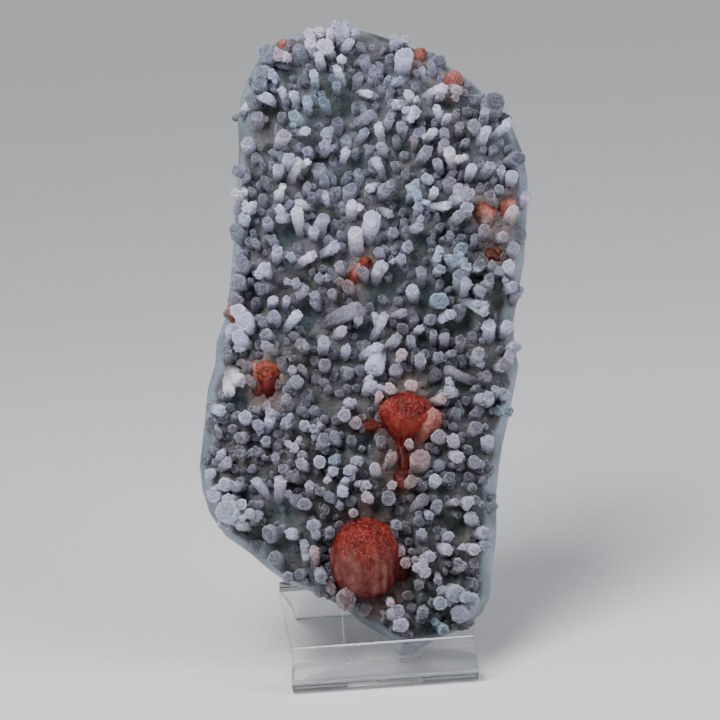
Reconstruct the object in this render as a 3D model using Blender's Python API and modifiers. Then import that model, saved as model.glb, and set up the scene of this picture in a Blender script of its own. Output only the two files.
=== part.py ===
# A plate of botryoidal chalcedony with red heulandite crystals, leaning on a clear acrylic easel.
# Metres, +Z up. The origin is on the table, under the middle of the easel's ledge. The plate faces -Y.

import math
import random

import bmesh
import bpy
from mathutils import Matrix, Vector, noise

MM = 0.001
GAP = 0.3 * MM

# The easel is one bent sheet: lip, ledge, two arms, and two legs that a strip joins at the back.
SHEET = 3.0 * MM
LIP_HEIGHT = 16.3 * MM
LIP_FRONT = -16.0 * MM
ARM_FOOT = 12.6 * MM
ARM_LEAN = math.radians(18)
ARM_TOP = 28.5 * MM
REAR_FOOT = 74.0 * MM
BEND_RADIUS = 4.0 * MM
LIP_HALF_WIDTH = 30.0 * MM
FOOT_HALF_WIDTH = 31.0 * MM
ARM_HALF_WIDTH = 34.0 * MM
WINDOW_HALF_WIDTH = 13.0 * MM
WINDOW_CORNER = 2.0 * MM
STRIP_WIDTH = 13.0 * MM

# The plate has its own frame: x across, y up along its flat back, z out of its front. A relief is its
# height (mm, or a share of the back's relief) and its wavelength (mm).
PLATE_RISE = 2.3 * MM
PLATE_EDGE = 8.0 * MM
PLATE_CROWN = 18.0 * MM
SHOULDER_WIDTH = 20.0 * MM
SWELL = (2.6, 21.0)
LUMP = (1.1, 8.0)
BACK_RELIEF = 3.0 * MM
BACK_SWELL = (0.9, 14.0)
BACK_FLAT_TO = 30.0 * MM
BACK_ROUGH_FROM = 50.0 * MM
RIM_HIGH = 5.6 * MM
RIM_LOW = 1.6 * MM
RIM_RELIEF = 1.0 * MM
RIM_SHARE = 0.04

# Height up the plate, then where its left and right edges are (mm).
PLATE_ROWS = (
    (1.2, 5.5, 9.5), (4.5, 3.5, 15), (8.5, -0.5, 27), (13, -7, 34), (18, -12, 37), (23, -20, 38),
    (28, -31, 38.5), (33.5, -37.5, 40), (39, -43, 41), (45, -50.5, 41.5), (53, -55.5, 42),
    (61, -57.5, 43.5), (70, -58, 45.5), (78, -56.5, 48), (87, -55, 50.5), (96, -53.5, 53),
    (104, -50.5, 52), (112, -49.5, 52.5), (120, -46, 54.5), (132, -43.5, 57.5), (146, -41.5, 59.5),
    (160, -40, 61), (170, -38.5, 60), (180, -37.5, 57), (189, -37.5, 50.5), (197, -35.5, 43),
    (204.5, -32, 33.5), (210.5, -28, 22.5), (214.5, -23, 12), (217.5, -11, 4),
)
FRONT_STEPS = (0.02, 0.12, 0.28, 0.45, 0.62, 0.78, 0.91, 0.98)
BACK_STEPS = (0.93, 0.65, 0.35, 0.07)

# The fingers stand on a staggered lattice. Every second site of every second row has a solid finger.
SITE_ACROSS = 5.6 * MM
SITE_UP = 5.0 * MM
SITE_JITTER = 1.7 * MM
SOLID_STEP = 2
FINGER_LENGTHS = (7.0 * MM, 12.0 * MM)
FINGER_RADII = (2.4 * MM, 3.3 * MM)
FINGER_ROOT = 3.0 * MM
FINGER_SIDES = 6
FINGER_BEVEL = 0.45
SHORTEST_FINGER = 4.0 * MM
SHORTER = 0.5 * MM
LEAN_FOCUS = (9.0, 58.0)
LEAN_REACH = 120.0
LEAN_MOST = 56.0
LEAN_RANGE = (2.0, 66.0)
TURN_SPREAD = 34
LEAN_SPREAD = 12
RIM_OVERHANG = 0.8 * MM
CRYSTAL_REACH = 0.22

# Large fingers and clumps (mm, degrees): across, up, direction of lean, lean, length, radius.
LARGE_FINGERS = (
    (-8, 206, 100, 46, 15, 4.6), (1, 208, 78, 54, 14, 3.2), (20, 196, 84, 46, 14, 4.0),
    (-48, 52, 200, 22, 11, 5.4), (-37, 49, 110, 42, 13, 3.3), (-42, 94, 120, 42, 15, 3.2),
    (-48, 96, 100, 44, 13, 3.0), (-42, 108, 120, 30, 11, 4.0), (-1, 138, 94, 52, 14, 3.3),
    (8, 143, 50, 40, 12, 3.1), (31, 20, 300, 14, 10, 5.6), (5, 13, 268, 26, 11, 4.3),
    (47, 93, 20, 24, 11, 4.2), (46, 106, 40, 24, 11, 3.4), (-16, 202, 120, 40, 12, 3.2),
    (34, 60, 330, 18, 11, 3.4), (-19, 38, 110, 42, 13, 3.3), (20, 29, 300, 16, 11, 3.3),
    (15, 101, 60, 44, 12, 3.2), (-24, 61, 118, 42, 13, 3.1), (-30, 170, 70, 48, 13, 3.0),
    (-8, 178, 64, 48, 13, 3.0), (22, 186, 120, 48, 12, 2.9), (44, 168, 60, 44, 12, 3.0),
)

# Red crystals: a name, then the barrels of blades grown into each other. A barrel (mm, degrees) is across,
# up, height of its centre over the plate's front, width, length, turn from upright, number of blades.
CRYSTALS = (
    ("heulandite_barrel", ((-4.5, 33, 5.0, 23, 25.5, 4, 4), (7, 25.5, 0.8, 9, 12, -18, 2))),
    (
        "heulandite_sheaf",
        ((14.5, 78, 3.5, 19, 21, -8, 4), (10, 62, 0.0, 6, 20, -14, 1), (3.5, 77, 1.0, 4, 14, 80, 1)),
    ),
    ("heulandite_left", ((-33, 95, 2.0, 9, 15, -8, 2),)),
    ("heulandite_centre", ((-1, 129, 2.0, 6, 14, -38, 2),)),
    ("heulandite_right", ((48, 147, 2.0, 13, 14, 12, 3),)),
    ("heulandite_right_low", ((46.5, 133, 1.0, 5, 7, 0, 1),)),
    ("heulandite_top_left", ((-19, 207, 1.5, 5, 7, 20, 1),)),
    ("heulandite_top_middle", ((26, 202, 2.0, 4, 8, -25, 1),)),
    ("heulandite_top_right", ((37, 192, 2.5, 6, 8, -35, 1),)),
    ("heulandite_left_edge", ((-41, 120, 1.5, 4, 8, 5, 1),)),
)
BLADE_THICKNESS = 0.42
BLADE_CORNER = 0.27
BLADE_SHARES = (0.92, 1.0)
BLADE_SHIFT = 0.03


def clearWorkspace():
    for leftover in list(bpy.data.objects):
        bpy.data.objects.remove(leftover, do_unlink=True)


def newCollection(name, hidden=False):
    collection = bpy.data.collections.new(name)
    bpy.context.scene.collection.children.link(collection)
    collection.hide_render = hidden
    return collection


def newMaterial(name, color, roughness, transmission=0.0, ior=1.5):
    material = bpy.data.materials.new(name)
    material.use_nodes = True
    shader = material.node_tree.nodes["Principled BSDF"]
    shader.inputs["Base Color"].default_value = (*color, 1)
    shader.inputs["Roughness"].default_value = roughness
    shader.inputs["Metallic"].default_value = 0.0
    shader.inputs["Transmission Weight"].default_value = transmission
    shader.inputs["IOR"].default_value = ior
    return material


def addObject(name, bm, collection, material=None, parent=None):
    mesh = bpy.data.meshes.new(name)
    bm.to_mesh(mesh)
    bm.free()
    if material:
        mesh.materials.append(material)
    made = bpy.data.objects.new(name, mesh)
    collection.objects.link(made)
    made.parent = parent
    return made


def addBoolean(target, other, operation, useSelf=False):
    other.hide_render = True
    other.display_type = "WIRE"
    modifier = target.modifiers.new(other.name, "BOOLEAN")
    modifier.operation = operation
    modifier.solver = "EXACT"
    modifier.use_self = useSelf
    modifier.object = other


def applyModifiers(target):
    bpy.context.view_layer.update()
    graph = bpy.context.evaluated_depsgraph_get()
    mesh = bpy.data.meshes.new_from_object(target.evaluated_get(graph))
    target.modifiers.clear()
    target.data = mesh


def roundedPath(corners, radius, steps=4):
    # Corners are (y, z, half width), and each inner one becomes an arc of the given radius.
    path = [corners[0]]
    for before, corner, after in zip(corners, corners[1:], corners[2:]):
        here = Vector(corner[:2])
        inward = (Vector(before[:2]) - here).normalized()
        outward = (Vector(after[:2]) - here).normalized()
        half = inward.angle(outward) / 2
        centre = here + (inward + outward).normalized() * radius / math.sin(half)
        start = here + inward * radius / math.tan(half) - centre
        end = here + outward * radius / math.tan(half) - centre
        sweep = start.angle_signed(end)
        for step in range(steps + 1):
            spot = centre + Matrix.Rotation(-sweep * step / steps, 2) @ start
            path.append((spot.x, spot.y, corner[2]))
    path.append(corners[-1])
    return path


def easelPath():
    # The sheet's middle line, lip to rear foot, and the points where its window starts and ends.
    middle = SHEET / 2
    top = ARM_FOOT + (ARM_TOP - middle) * math.tan(ARM_LEAN)
    slope = math.atan2(ARM_TOP - middle, REAR_FOOT - top)
    corners = [
        (LIP_FRONT + middle, LIP_HEIGHT, LIP_HALF_WIDTH),
        (LIP_FRONT + middle, middle, FOOT_HALF_WIDTH),
        (ARM_FOOT, middle, FOOT_HALF_WIDTH),
        (top, ARM_TOP, ARM_HALF_WIDTH),
        (REAR_FOOT, middle * math.cos(slope), FOOT_HALF_WIDTH),
    ]
    path = roundedPath(corners, BEND_RADIUS)
    end = Vector(path[-1][:2])
    down = Vector((math.cos(slope), -math.sin(slope)))
    strip = end - down * STRIP_WIDTH
    path[-1:] = [
        (*(strip - down * WINDOW_CORNER), FOOT_HALF_WIDTH),
        (*strip, FOOT_HALF_WIDTH),
        (*end, FOOT_HALF_WIDTH),
    ]
    windowStart = next(index for index, spot in enumerate(path) if spot[0] > 0)
    return path, windowStart, len(path) - 2


def buildEasel(collection, material):
    path, windowStart, windowEnd = easelPath()
    bm = bmesh.new()
    rows = []
    for index, (y, z, half) in enumerate(path):
        inner = WINDOW_HALF_WIDTH - (WINDOW_CORNER if index in (windowStart, windowEnd) else 0)
        rows.append([bm.verts.new((x, y, z)) for x in (-half, -inner, inner, half)])
    for index, (low, high) in enumerate(zip(rows, rows[1:])):
        inWindow = windowStart <= index < windowEnd
        for column in (0, 2) if inWindow else (0, 1, 2):
            bm.faces.new((low[column], low[column + 1], high[column + 1], high[column]))
    bmesh.ops.recalc_face_normals(bm, faces=bm.faces)
    easel = addObject("acrylic_stand", bm, collection, material)
    sheet = easel.modifiers.new("sheet", "SOLIDIFY")
    sheet.thickness = SHEET
    sheet.offset = 0
    sheet.use_even_offset = True
    return easel


def addPlateFrame(collection):
    # An empty on the easel's arms: its xy plane is the plate's back.
    frame = bpy.data.objects.new("plate_frame", None)
    collection.objects.link(frame)
    behind = (SHEET / 2 + GAP) / math.cos(ARM_LEAN)
    frame.location = (0, ARM_FOOT + (PLATE_RISE - SHEET / 2) * math.tan(ARM_LEAN) - behind, PLATE_RISE)
    frame.rotation_euler = (math.pi / 2 - ARM_LEAN, 0, 0)
    bpy.context.view_layer.update()
    return frame


def plateEdges(up):
    # The plate's left and right edges at one height.
    height = up / MM
    for (low, leftLow, rightLow), (high, leftHigh, rightHigh) in zip(PLATE_ROWS, PLATE_ROWS[1:]):
        if height <= high:
            part = max(0.0, (height - low) / (high - low))
            left = leftLow + (leftHigh - leftLow) * part
            right = rightLow + (rightHigh - rightLow) * part
            return left * MM, right * MM
    return PLATE_ROWS[-1][1] * MM, PLATE_ROWS[-1][2] * MM


def edgeDistance(across, up):
    left, right = plateEdges(up)
    return min(across - left, right - across, up - PLATE_ROWS[0][0] * MM, PLATE_ROWS[-1][0] * MM - up)


def bumps(relief, across, up, layer):
    height, wavelength = relief
    return height * noise.noise(Vector((across / MM / wavelength, up / MM / wavelength, layer)))


def frontHeight(across, up):
    # The front rises from the rim over a rounded shoulder to a crown with low swells.
    inward = min(1.0, max(0.0, edgeDistance(across, up) / SHOULDER_WIDTH))
    shoulder = math.sqrt(1 - (1 - inward) ** 2)
    relief = bumps(SWELL, across, up, 3.7) + bumps(LUMP, across, up, 9.1)
    return PLATE_EDGE + (PLATE_CROWN - PLATE_EDGE) * shoulder + relief * (0.3 + 0.7 * shoulder) * MM


def backHeight(across, up):
    # The broken back is uneven, and flat low down where it leans on the easel's arms.
    part = min(1.0, max(0.0, (up - BACK_FLAT_TO) / (BACK_ROUGH_FROM - BACK_FLAT_TO)))
    return BACK_RELIEF * part * (0.5 + bumps(BACK_SWELL, across, up, 21.5))


def buildPlateBody():
    # Sections across the plate, one at each height, lofted from the bottom tip to the top.
    bm = bmesh.new()
    sections = []
    for height, leftEdge, rightEdge in PLATE_ROWS:
        up, left, right = height * MM, leftEdge * MM, rightEdge * MM
        front = [left + (right - left) * step for step in FRONT_STEPS]
        back = [left + (right - left) * step for step in BACK_STEPS]
        loop = [(across, frontHeight(across, up)) for across in front]
        wander = 1 + noise.noise(Vector((height / 9, 0, 5)))
        under = min(RIM_RELIEF * wander, (right - left) * RIM_SHARE)
        loop += [(right, RIM_HIGH), (right - under, RIM_LOW)]
        loop += [(across, backHeight(across, up)) for across in back]
        loop += [(left + under, RIM_LOW), (left, RIM_HIGH)]
        sections.append([bm.verts.new((across, up, out)) for across, out in loop])
    for low, high in zip(sections, sections[1:]):
        for here in range(len(low)):
            bm.faces.new((low[here - 1], low[here], high[here], high[here - 1]))
    ends = [bm.faces.new(sections[0]), bm.faces.new(sections[-1])]
    bmesh.ops.poke(bm, faces=ends)
    bmesh.ops.triangulate(bm, faces=bm.faces)
    bmesh.ops.recalc_face_normals(bm, faces=bm.faces)
    return bm


def addBlade(bm, place, width, length, thickness):
    # A tabular crystal with cut corners, standing along its own y axis.
    size = Matrix.Diagonal((width, length, thickness, 1))
    made = bmesh.ops.create_cube(bm, size=1, matrix=place @ size)
    through = place.to_3x3().col[2]
    corners = {
        edge
        for vert in made["verts"]
        for edge in vert.link_edges
        if abs((edge.verts[0].co - edge.verts[1].co).normalized().dot(through)) > 0.99
    }
    corner = width * BLADE_CORNER
    bmesh.ops.bevel(bm, geom=list(corners), offset=corner, segments=1, affect="EDGES", profile=0.5)


def barrelBlades(barrel):
    # The place and size of each blade, fanned about the barrel's upright axis like staves.
    across, up, out, width, length, turn, count = barrel
    chance = random.Random(width * up)
    centre = Vector((across * MM, up * MM, frontHeight(across * MM, up * MM) + out * MM))
    axis = Matrix.Translation(centre) @ Matrix.Rotation(math.radians(turn), 4, "Z")
    for blade in range(count):
        fan = Matrix.Rotation(math.pi * (blade + 0.15) / count, 4, "Y")
        shift = Matrix.Translation((0, chance.uniform(-BLADE_SHIFT, BLADE_SHIFT) * length * MM, 0))
        share = chance.uniform(*BLADE_SHARES) * MM
        yield axis @ fan @ shift, (width * share, length * share, width * BLADE_THICKNESS * share)


def buildCrystal(name, barrels, parts, cutters, material, frame):
    # The first blade is the object, and the other blades are united with it.
    bodies = []
    for place, size in (blade for barrel in barrels for blade in barrelBlades(barrel)):
        bm = bmesh.new()
        addBlade(bm, place, *size)
        bodies.append(bm)
    crystal = addObject(name, bodies[0], parts, material, frame)
    for index, bm in enumerate(bodies[1:]):
        addBoolean(crystal, addObject(f"{name}_blade_{index}", bm, cutters, None, frame), "UNION")
    return crystal


def buildPockets(cutters, frame):
    # Every blade, swollen by the gap on each side, as one cutter for the plate.
    bm = bmesh.new()
    for _, barrels in CRYSTALS:
        for place, size in (blade for barrel in barrels for blade in barrelBlades(barrel)):
            addBlade(bm, place, *(side + 2 * GAP for side in size))
    return addObject("crystal_pockets", bm, cutters, None, frame)


def leanOf(across, up, chance):
    # Fingers lean away from a focus low on the plate, each with a turn of its own.
    dx = across / MM - LEAN_FOCUS[0]
    dy = up / MM - LEAN_FOCUS[1]
    azimuth = math.atan2(dy, dx) + math.radians(chance.gauss(0, TURN_SPREAD))
    away = min(1.0, math.hypot(dx, dy) / LEAN_REACH)
    lean = LEAN_MOST * away**0.8 + chance.gauss(0, LEAN_SPREAD)
    least, most = LEAN_RANGE
    return azimuth, math.radians(min(most, max(least, lean)))


def fingerSites():
    # Every lattice site on the plate: row, column, place, direction of lean and lean, length, radius.
    for row in range(int(PLATE_ROWS[-1][0] * MM / SITE_UP)):
        for column in range(-12, 13):
            chance = random.Random(row * 101 + column)
            across = (column + 0.5 * (row % 2)) * SITE_ACROSS + chance.uniform(-1, 1) * SITE_JITTER
            up = 4 * MM + row * SITE_UP + chance.uniform(-1, 1) * SITE_JITTER
            turn = leanOf(across, up, chance)
            length = chance.uniform(*FINGER_LENGTHS)
            radius = chance.uniform(*FINGER_RADII)
            if edgeDistance(across, up) > radius * 0.6:
                yield row, column, (across, up), turn, length, radius


def fingerDirection(azimuth, lean):
    flat = math.sin(lean)
    return Vector((flat * math.cos(azimuth), flat * math.sin(azimuth), math.cos(lean)))


def addFinger(bm, base, direction, length, radius):
    # A six-sided finger, a little wider at its bevelled tip than at its root.
    turn = Vector((0, 0, 1)).rotation_difference(direction).to_matrix().to_4x4()
    place = Matrix.Translation(base + direction * length / 2) @ turn
    made = bmesh.ops.create_cone(
        bm,
        cap_ends=True,
        segments=FINGER_SIDES,
        radius1=radius * 0.85,
        radius2=radius,
        depth=length,
        matrix=place,
    )
    tip = base + direction * length
    rim = {
        edge
        for vert in made["verts"]
        for edge in vert.link_edges
        if all((end.co - tip).length < radius * 1.05 for end in edge.verts)
    }
    bevel = radius * FINGER_BEVEL
    bmesh.ops.bevel(bm, geom=list(rim), offset=bevel, segments=1, affect="EDGES", profile=0.5)


def clearOfEasel(point, radius, toWorld):
    # True where a finger's tip stays above the ledge and behind the lip.
    world = toWorld @ point
    reach = radius + GAP
    overLip = world.z > LIP_HEIGHT + reach
    return world.z > SHEET + reach and (overLip or world.y > LIP_FRONT + SHEET + reach)


def uprightAtRim(spot, turn, length, radius):
    # Lessens the lean of a finger until its tip no longer overhangs the rim.
    azimuth, lean = turn
    for _ in range(12):
        tip = Vector((*spot, 0)) + fingerDirection(azimuth, lean) * length
        if edgeDistance(tip.x, tip.y) > radius * 0.7 - RIM_OVERHANG:
            break
        lean *= 0.75
    return fingerDirection(azimuth, lean)


def fingerPlan(toWorld):
    # The solid fingers, clear of crystals, easel and each other: base, direction, length and radius.
    large = [
        ((across * MM, up * MM), (math.radians(azimuth), math.radians(lean)), length * MM, radius * MM)
        for across, up, azimuth, lean, length, radius in LARGE_FINGERS
    ]
    lattice = [
        site[2:] for site in fingerSites() if site[0] % SOLID_STEP == 0 and site[1] % SOLID_STEP == 0
    ]
    taken = [
        (Vector((across * MM, up * MM)), (width + length) * CRYSTAL_REACH * MM)
        for _, barrels in CRYSTALS
        for across, up, _, width, length, _, _ in barrels
    ]
    plan = []
    for spot, turn, length, radius in large + lattice:
        here = Vector(spot)
        if any((here - other).length < radius + reach for other, reach in taken):
            continue
        direction = uprightAtRim(spot, turn, length, radius)
        surface = Vector((*spot, frontHeight(*spot)))
        while length > SHORTEST_FINGER:
            if clearOfEasel(surface + direction * length, radius, toWorld):
                break
            length -= SHORTER
        if length > SHORTEST_FINGER:
            plan.append((surface - direction * FINGER_ROOT, direction, length + FINGER_ROOT, radius))
            taken.append((here, radius))
    return plan


def buildFingers(cutters, frame):
    bm = bmesh.new()
    for base, direction, length, radius in fingerPlan(frame.matrix_world):
        addFinger(bm, base, direction, length, radius)
    return addObject("finger_bodies", bm, cutters, None, frame)


def keepLargestPiece(mesh):
    # Drops the slivers and cut-off tips that the pockets leave.
    bm = bmesh.new()
    bm.from_mesh(mesh)
    bmesh.ops.triangulate(bm, faces=bm.faces)
    bmesh.ops.remove_doubles(bm, verts=bm.verts, dist=0.01 * MM)
    bmesh.ops.dissolve_degenerate(bm, edges=bm.edges, dist=0.005 * MM)
    pieces = []
    left = set(bm.verts)
    while left:
        piece = {left.pop()}
        edge = list(piece)
        while edge:
            near = {link.other_vert(vert) for vert in edge for link in vert.link_edges} - piece
            piece |= near
            edge = list(near)
        left -= piece
        pieces.append(piece)
    pieces.sort(key=len)
    for piece in pieces[:-1]:
        bmesh.ops.delete(bm, geom=list(piece), context="VERTS")
    bm.to_mesh(mesh)
    bm.free()


def buildPlate(parts, cutters, material, frame):
    plate = addObject("chalcedony_plate", buildPlateBody(), parts, material, frame)
    addBoolean(plate, buildFingers(cutters, frame), "UNION", useSelf=True)
    addBoolean(plate, buildPockets(cutters, frame), "DIFFERENCE", useSelf=True)
    applyModifiers(plate)
    keepLargestPiece(plate.data)
    return plate


def main():
    clearWorkspace()
    parts = newCollection("botryoidal_chalcedony")
    cutters = newCollection("cutters", hidden=True)
    chalcedony = newMaterial("chalcedony", (0.52, 0.56, 0.60), 0.55)
    heulandite = newMaterial("heulandite", (0.62, 0.13, 0.07), 0.45)
    acrylic = newMaterial("clear_acrylic", (0.93, 0.95, 0.97), 0.05, transmission=1.0, ior=1.49)
    buildEasel(parts, acrylic)
    frame = addPlateFrame(parts)
    for name, barrels in CRYSTALS:
        buildCrystal(name, barrels, parts, cutters, heulandite, frame)
    buildPlate(parts, cutters, chalcedony, frame)


main()
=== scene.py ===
import math
import random

import bmesh
import bpy
from mathutils import Matrix, Vector, noise


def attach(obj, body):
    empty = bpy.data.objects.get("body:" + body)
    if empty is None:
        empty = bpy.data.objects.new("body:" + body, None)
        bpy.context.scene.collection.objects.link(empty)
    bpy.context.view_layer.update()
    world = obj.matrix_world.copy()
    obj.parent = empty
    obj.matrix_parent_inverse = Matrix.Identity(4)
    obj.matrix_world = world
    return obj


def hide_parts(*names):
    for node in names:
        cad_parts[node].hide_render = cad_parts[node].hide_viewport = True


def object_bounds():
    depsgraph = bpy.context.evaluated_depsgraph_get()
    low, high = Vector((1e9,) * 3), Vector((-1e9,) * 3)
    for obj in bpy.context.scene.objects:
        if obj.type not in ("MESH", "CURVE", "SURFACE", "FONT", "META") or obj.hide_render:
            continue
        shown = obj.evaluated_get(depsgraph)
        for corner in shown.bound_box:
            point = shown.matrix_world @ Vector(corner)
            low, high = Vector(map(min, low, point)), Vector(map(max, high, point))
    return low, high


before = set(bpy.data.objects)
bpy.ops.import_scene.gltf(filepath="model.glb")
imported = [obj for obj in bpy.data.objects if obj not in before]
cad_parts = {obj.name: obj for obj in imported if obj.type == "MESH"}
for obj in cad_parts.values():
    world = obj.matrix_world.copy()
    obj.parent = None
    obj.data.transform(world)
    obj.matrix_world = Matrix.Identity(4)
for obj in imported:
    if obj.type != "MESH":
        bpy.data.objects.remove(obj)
cadBox = [list(corner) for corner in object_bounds()]
mm = 0.001

view = {
    "aim": (-1.0, 12.0, 106.25),  # mm
    "distance": 900.0,
    "down": math.radians(11),
    "roll": math.radians(4),
    "lens": 135.0,
    "sensor": 36.0,
    "frame": 720,  # pixels a side
}

slab = {
    "origin": (0.0, 10.967, 2.3),  # mm: foot of the flat back, in front of the easel's arms
    "lean": math.radians(18),
    # height up the slab, left edge, right edge (mm)
    "rows": (
        (1.2, 5.5, 9.5), (4.5, 3.5, 15), (8.5, -0.5, 27), (13, -7, 34), (18, -12, 37), (23, -20, 38),
        (28, -31, 38.5), (33.5, -37.5, 40), (39, -43, 41), (45, -50.5, 41.5), (53, -55.5, 42),
        (61, -57.5, 43.5), (70, -58, 45.5), (78, -56.5, 48), (87, -55, 50.5), (96, -53.5, 53),
        (104, -50.5, 52), (112, -49.5, 52.5), (120, -46, 54.5), (132, -43.5, 57.5), (146, -41.5, 59.5),
        (160, -40, 61), (170, -38.5, 60), (180, -37.5, 57), (189, -37.5, 50.5), (197, -35.5, 43),
        (204.5, -32, 33.5), (210.5, -28, 22.5), (214.5, -23, 12), (217.5, -11, 4),
    ),
    "edge": 8.0,
    "crown": 18.0,
    "shoulder": 20.0,
    "columns": 106,
    "courses": 182,
    "backInset": 0.05,
    "rimCuts": 4,
    "rimBulge": 0.9,
    "hazeRise": 1.4,
    "hollowDrop": 0.8,
}

plateFrame = (
    Matrix.Translation(Vector(slab["origin"]) * mm)
    @ Matrix.Rotation(math.pi / 2 - slab["lean"], 4, "X")
    @ Matrix.Scale(mm, 4)
)
plateInverse = plateFrame.inverted()


def smooth(low, high, value):
    part = min(1.0, max(0.0, (value - low) / (high - low)))
    return part * part * (3 - 2 * part)


def blend(first, second, part):
    return tuple(a + (b - a) * part for a, b in zip(first, second))


# The slab's own form is in mm: across, up along its back, and out of its front.


def plateEdges(up):
    rows = slab["rows"]
    for (low, leftLow, rightLow), (high, leftHigh, rightHigh) in zip(rows, rows[1:]):
        if up <= high:
            part = max(0.0, (up - low) / (high - low))
            return leftLow + (leftHigh - leftLow) * part, rightLow + (rightHigh - rightLow) * part
    return rows[-1][1:]


def edgeDistance(across, up):
    left, right = plateEdges(up)
    return min(across - left, right - across, up - slab["rows"][0][0], slab["rows"][-1][0] - up)


def frontHeight(across, up):
    inward = min(1.0, max(0.0, edgeDistance(across, up) / slab["shoulder"]))
    shoulder = math.sqrt(1 - (1 - inward) ** 2)
    swell = noise.noise(Vector((across / 21, up / 21, 3.7)))
    lump = noise.noise(Vector((across / 8, up / 8, 9.1)))
    relief = (2.6 * swell + 1.1 * lump) * (0.3 + 0.7 * shoulder)
    return slab["edge"] + (slab["crown"] - slab["edge"]) * shoulder + relief


def backHeight(across, up):
    part = min(1.0, max(0.0, (up - 30) / 20))
    return 3 * part * (0.5 + 0.9 * noise.noise(Vector((across / 14, up / 14, 21.5))))


def cameraAxes():
    down, roll = view["down"], view["roll"]
    ahead = Vector((0, math.cos(down), -math.sin(down)))
    level = Vector((1, 0, 0))
    upward = Vector((0, math.sin(down), math.cos(down)))
    right = level * math.cos(roll) - upward * math.sin(roll)
    top = level * math.sin(roll) + upward * math.cos(roll)
    return right, top, ahead


def seenAt(x, y, out):
    # The point of the plane at height out over the slab's back that shows at a pixel of the frame.
    right, top, ahead = cameraAxes()
    half = view["frame"] / 2
    focal = view["frame"] * view["lens"] / view["sensor"]
    eye = (Vector(view["aim"]) - ahead * view["distance"]) * mm
    ray = ahead * focal + right * (x - half) + top * (half - y)
    start = plateInverse @ eye
    towards = plateInverse.to_3x3() @ ray
    point = start + towards * ((out - start.z) / towards.z)
    return point.x, point.y


def addCamera():
    right, top, ahead = cameraAxes()
    data = bpy.data.cameras.new("camera")
    data.lens = view["lens"]
    data.sensor_width = view["sensor"]
    data.clip_start = 0.05
    camera = bpy.data.objects.new("camera", data)
    bpy.context.scene.collection.objects.link(camera)
    turn = Matrix((right, top, -ahead)).transposed().to_4x4()
    camera.matrix_world = Matrix.Translation((Vector(view["aim"]) - ahead * view["distance"]) * mm) @ turn
    bpy.context.scene.camera = camera


class Wire:
    # A socket's output, or a sum made of them.
    def __init__(self, coat, socket):
        self.coat = coat
        self.socket = socket

    def sum(self, operation, first, second=0.0):
        return self.coat.add("ShaderNodeMath", {"operation": operation}, {0: first, 1: second})

    def __add__(self, other):
        return self.sum("ADD", self, other)

    def __radd__(self, other):
        return self.sum("ADD", other, self)

    def __sub__(self, other):
        return self.sum("SUBTRACT", self, other)

    def __rsub__(self, other):
        return self.sum("SUBTRACT", other, self)

    def __mul__(self, other):
        return self.sum("MULTIPLY", self, other)

    def __rmul__(self, other):
        return self.sum("MULTIPLY", other, self)

    def power(self, exponent):
        return self.sum("POWER", self, exponent)

    def largest(self, other):
        return self.sum("MAXIMUM", self, other)

    def step(self, low, high):
        # 0 below low, 1 above high, eased between.
        ranges = {"From Min": low, "From Max": high, "Value": self}
        return self.coat.add("ShaderNodeMapRange", {"interpolation_type": "SMOOTHSTEP"}, ranges)


class Coat:
    # One material: its shader's fixed values, and the nodes that feed what varies.
    def __init__(self, name, **fixed):
        self.material = bpy.data.materials.new(name)
        self.material.use_nodes = True
        self.tree = self.material.node_tree
        self.shader = self.tree.nodes["Principled BSDF"]
        for socket, value in fixed.items():
            self.shader.inputs[socket.replace("_", " ")].default_value = value

    def add(self, kind, settings=None, inputs=None, output=0):
        node = self.tree.nodes.new(kind)
        for name, value in (settings or {}).items():
            if name == "stops":
                ramp = node.color_ramp
                while len(ramp.elements) < len(value):
                    ramp.elements.new(0.5)
                for element, (position, color) in zip(ramp.elements, value):
                    element.position = position
                    element.color = (*color, 1)
            else:
                setattr(node, name, value)
        for socket, value in (inputs or {}).items():
            self.fill(node.inputs[socket], value)
        return Wire(self, node.outputs[output])

    def fill(self, socket, value):
        if isinstance(value, Wire):
            self.tree.links.new(value.socket, socket)
        elif isinstance(value, tuple) and len(value) == 3 and socket.type == "RGBA":
            socket.default_value = (*value, 1)
        else:
            socket.default_value = value

    def feed(self, socket, value):
        self.fill(self.shader.inputs[socket], value)

    def mix(self, factor, first, second, how="MIX"):
        settings = {"data_type": "RGBA", "blend_type": how}
        return self.add("ShaderNodeMix", settings, {0: factor, 6: first, 7: second}, 2)

    def place(self):
        return self.add("ShaderNodeTexCoord", output="Object")

    def grain(self, scale, detail=2.0, vector=None, roughness=0.5):
        inputs = {"Vector": vector or self.place(), "Scale": scale, "Detail": detail, "Roughness": roughness}
        return self.add("ShaderNodeTexNoise", inputs=inputs)

    def cells(self, scale, vector=None, feature="F1"):
        settings = {"feature": feature}
        return self.add("ShaderNodeTexVoronoi", settings, {"Vector": vector or self.place(), "Scale": scale})

    def bump(self, height, strength, distance):
        inputs = {"Height": height, "Strength": strength, "Distance": distance}
        self.feed("Normal", self.add("ShaderNodeBump", inputs=inputs, output="Normal"))


def tint(coat):
    return coat.add("ShaderNodeAttribute", {"attribute_name": "tint"}, output="Color")


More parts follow.
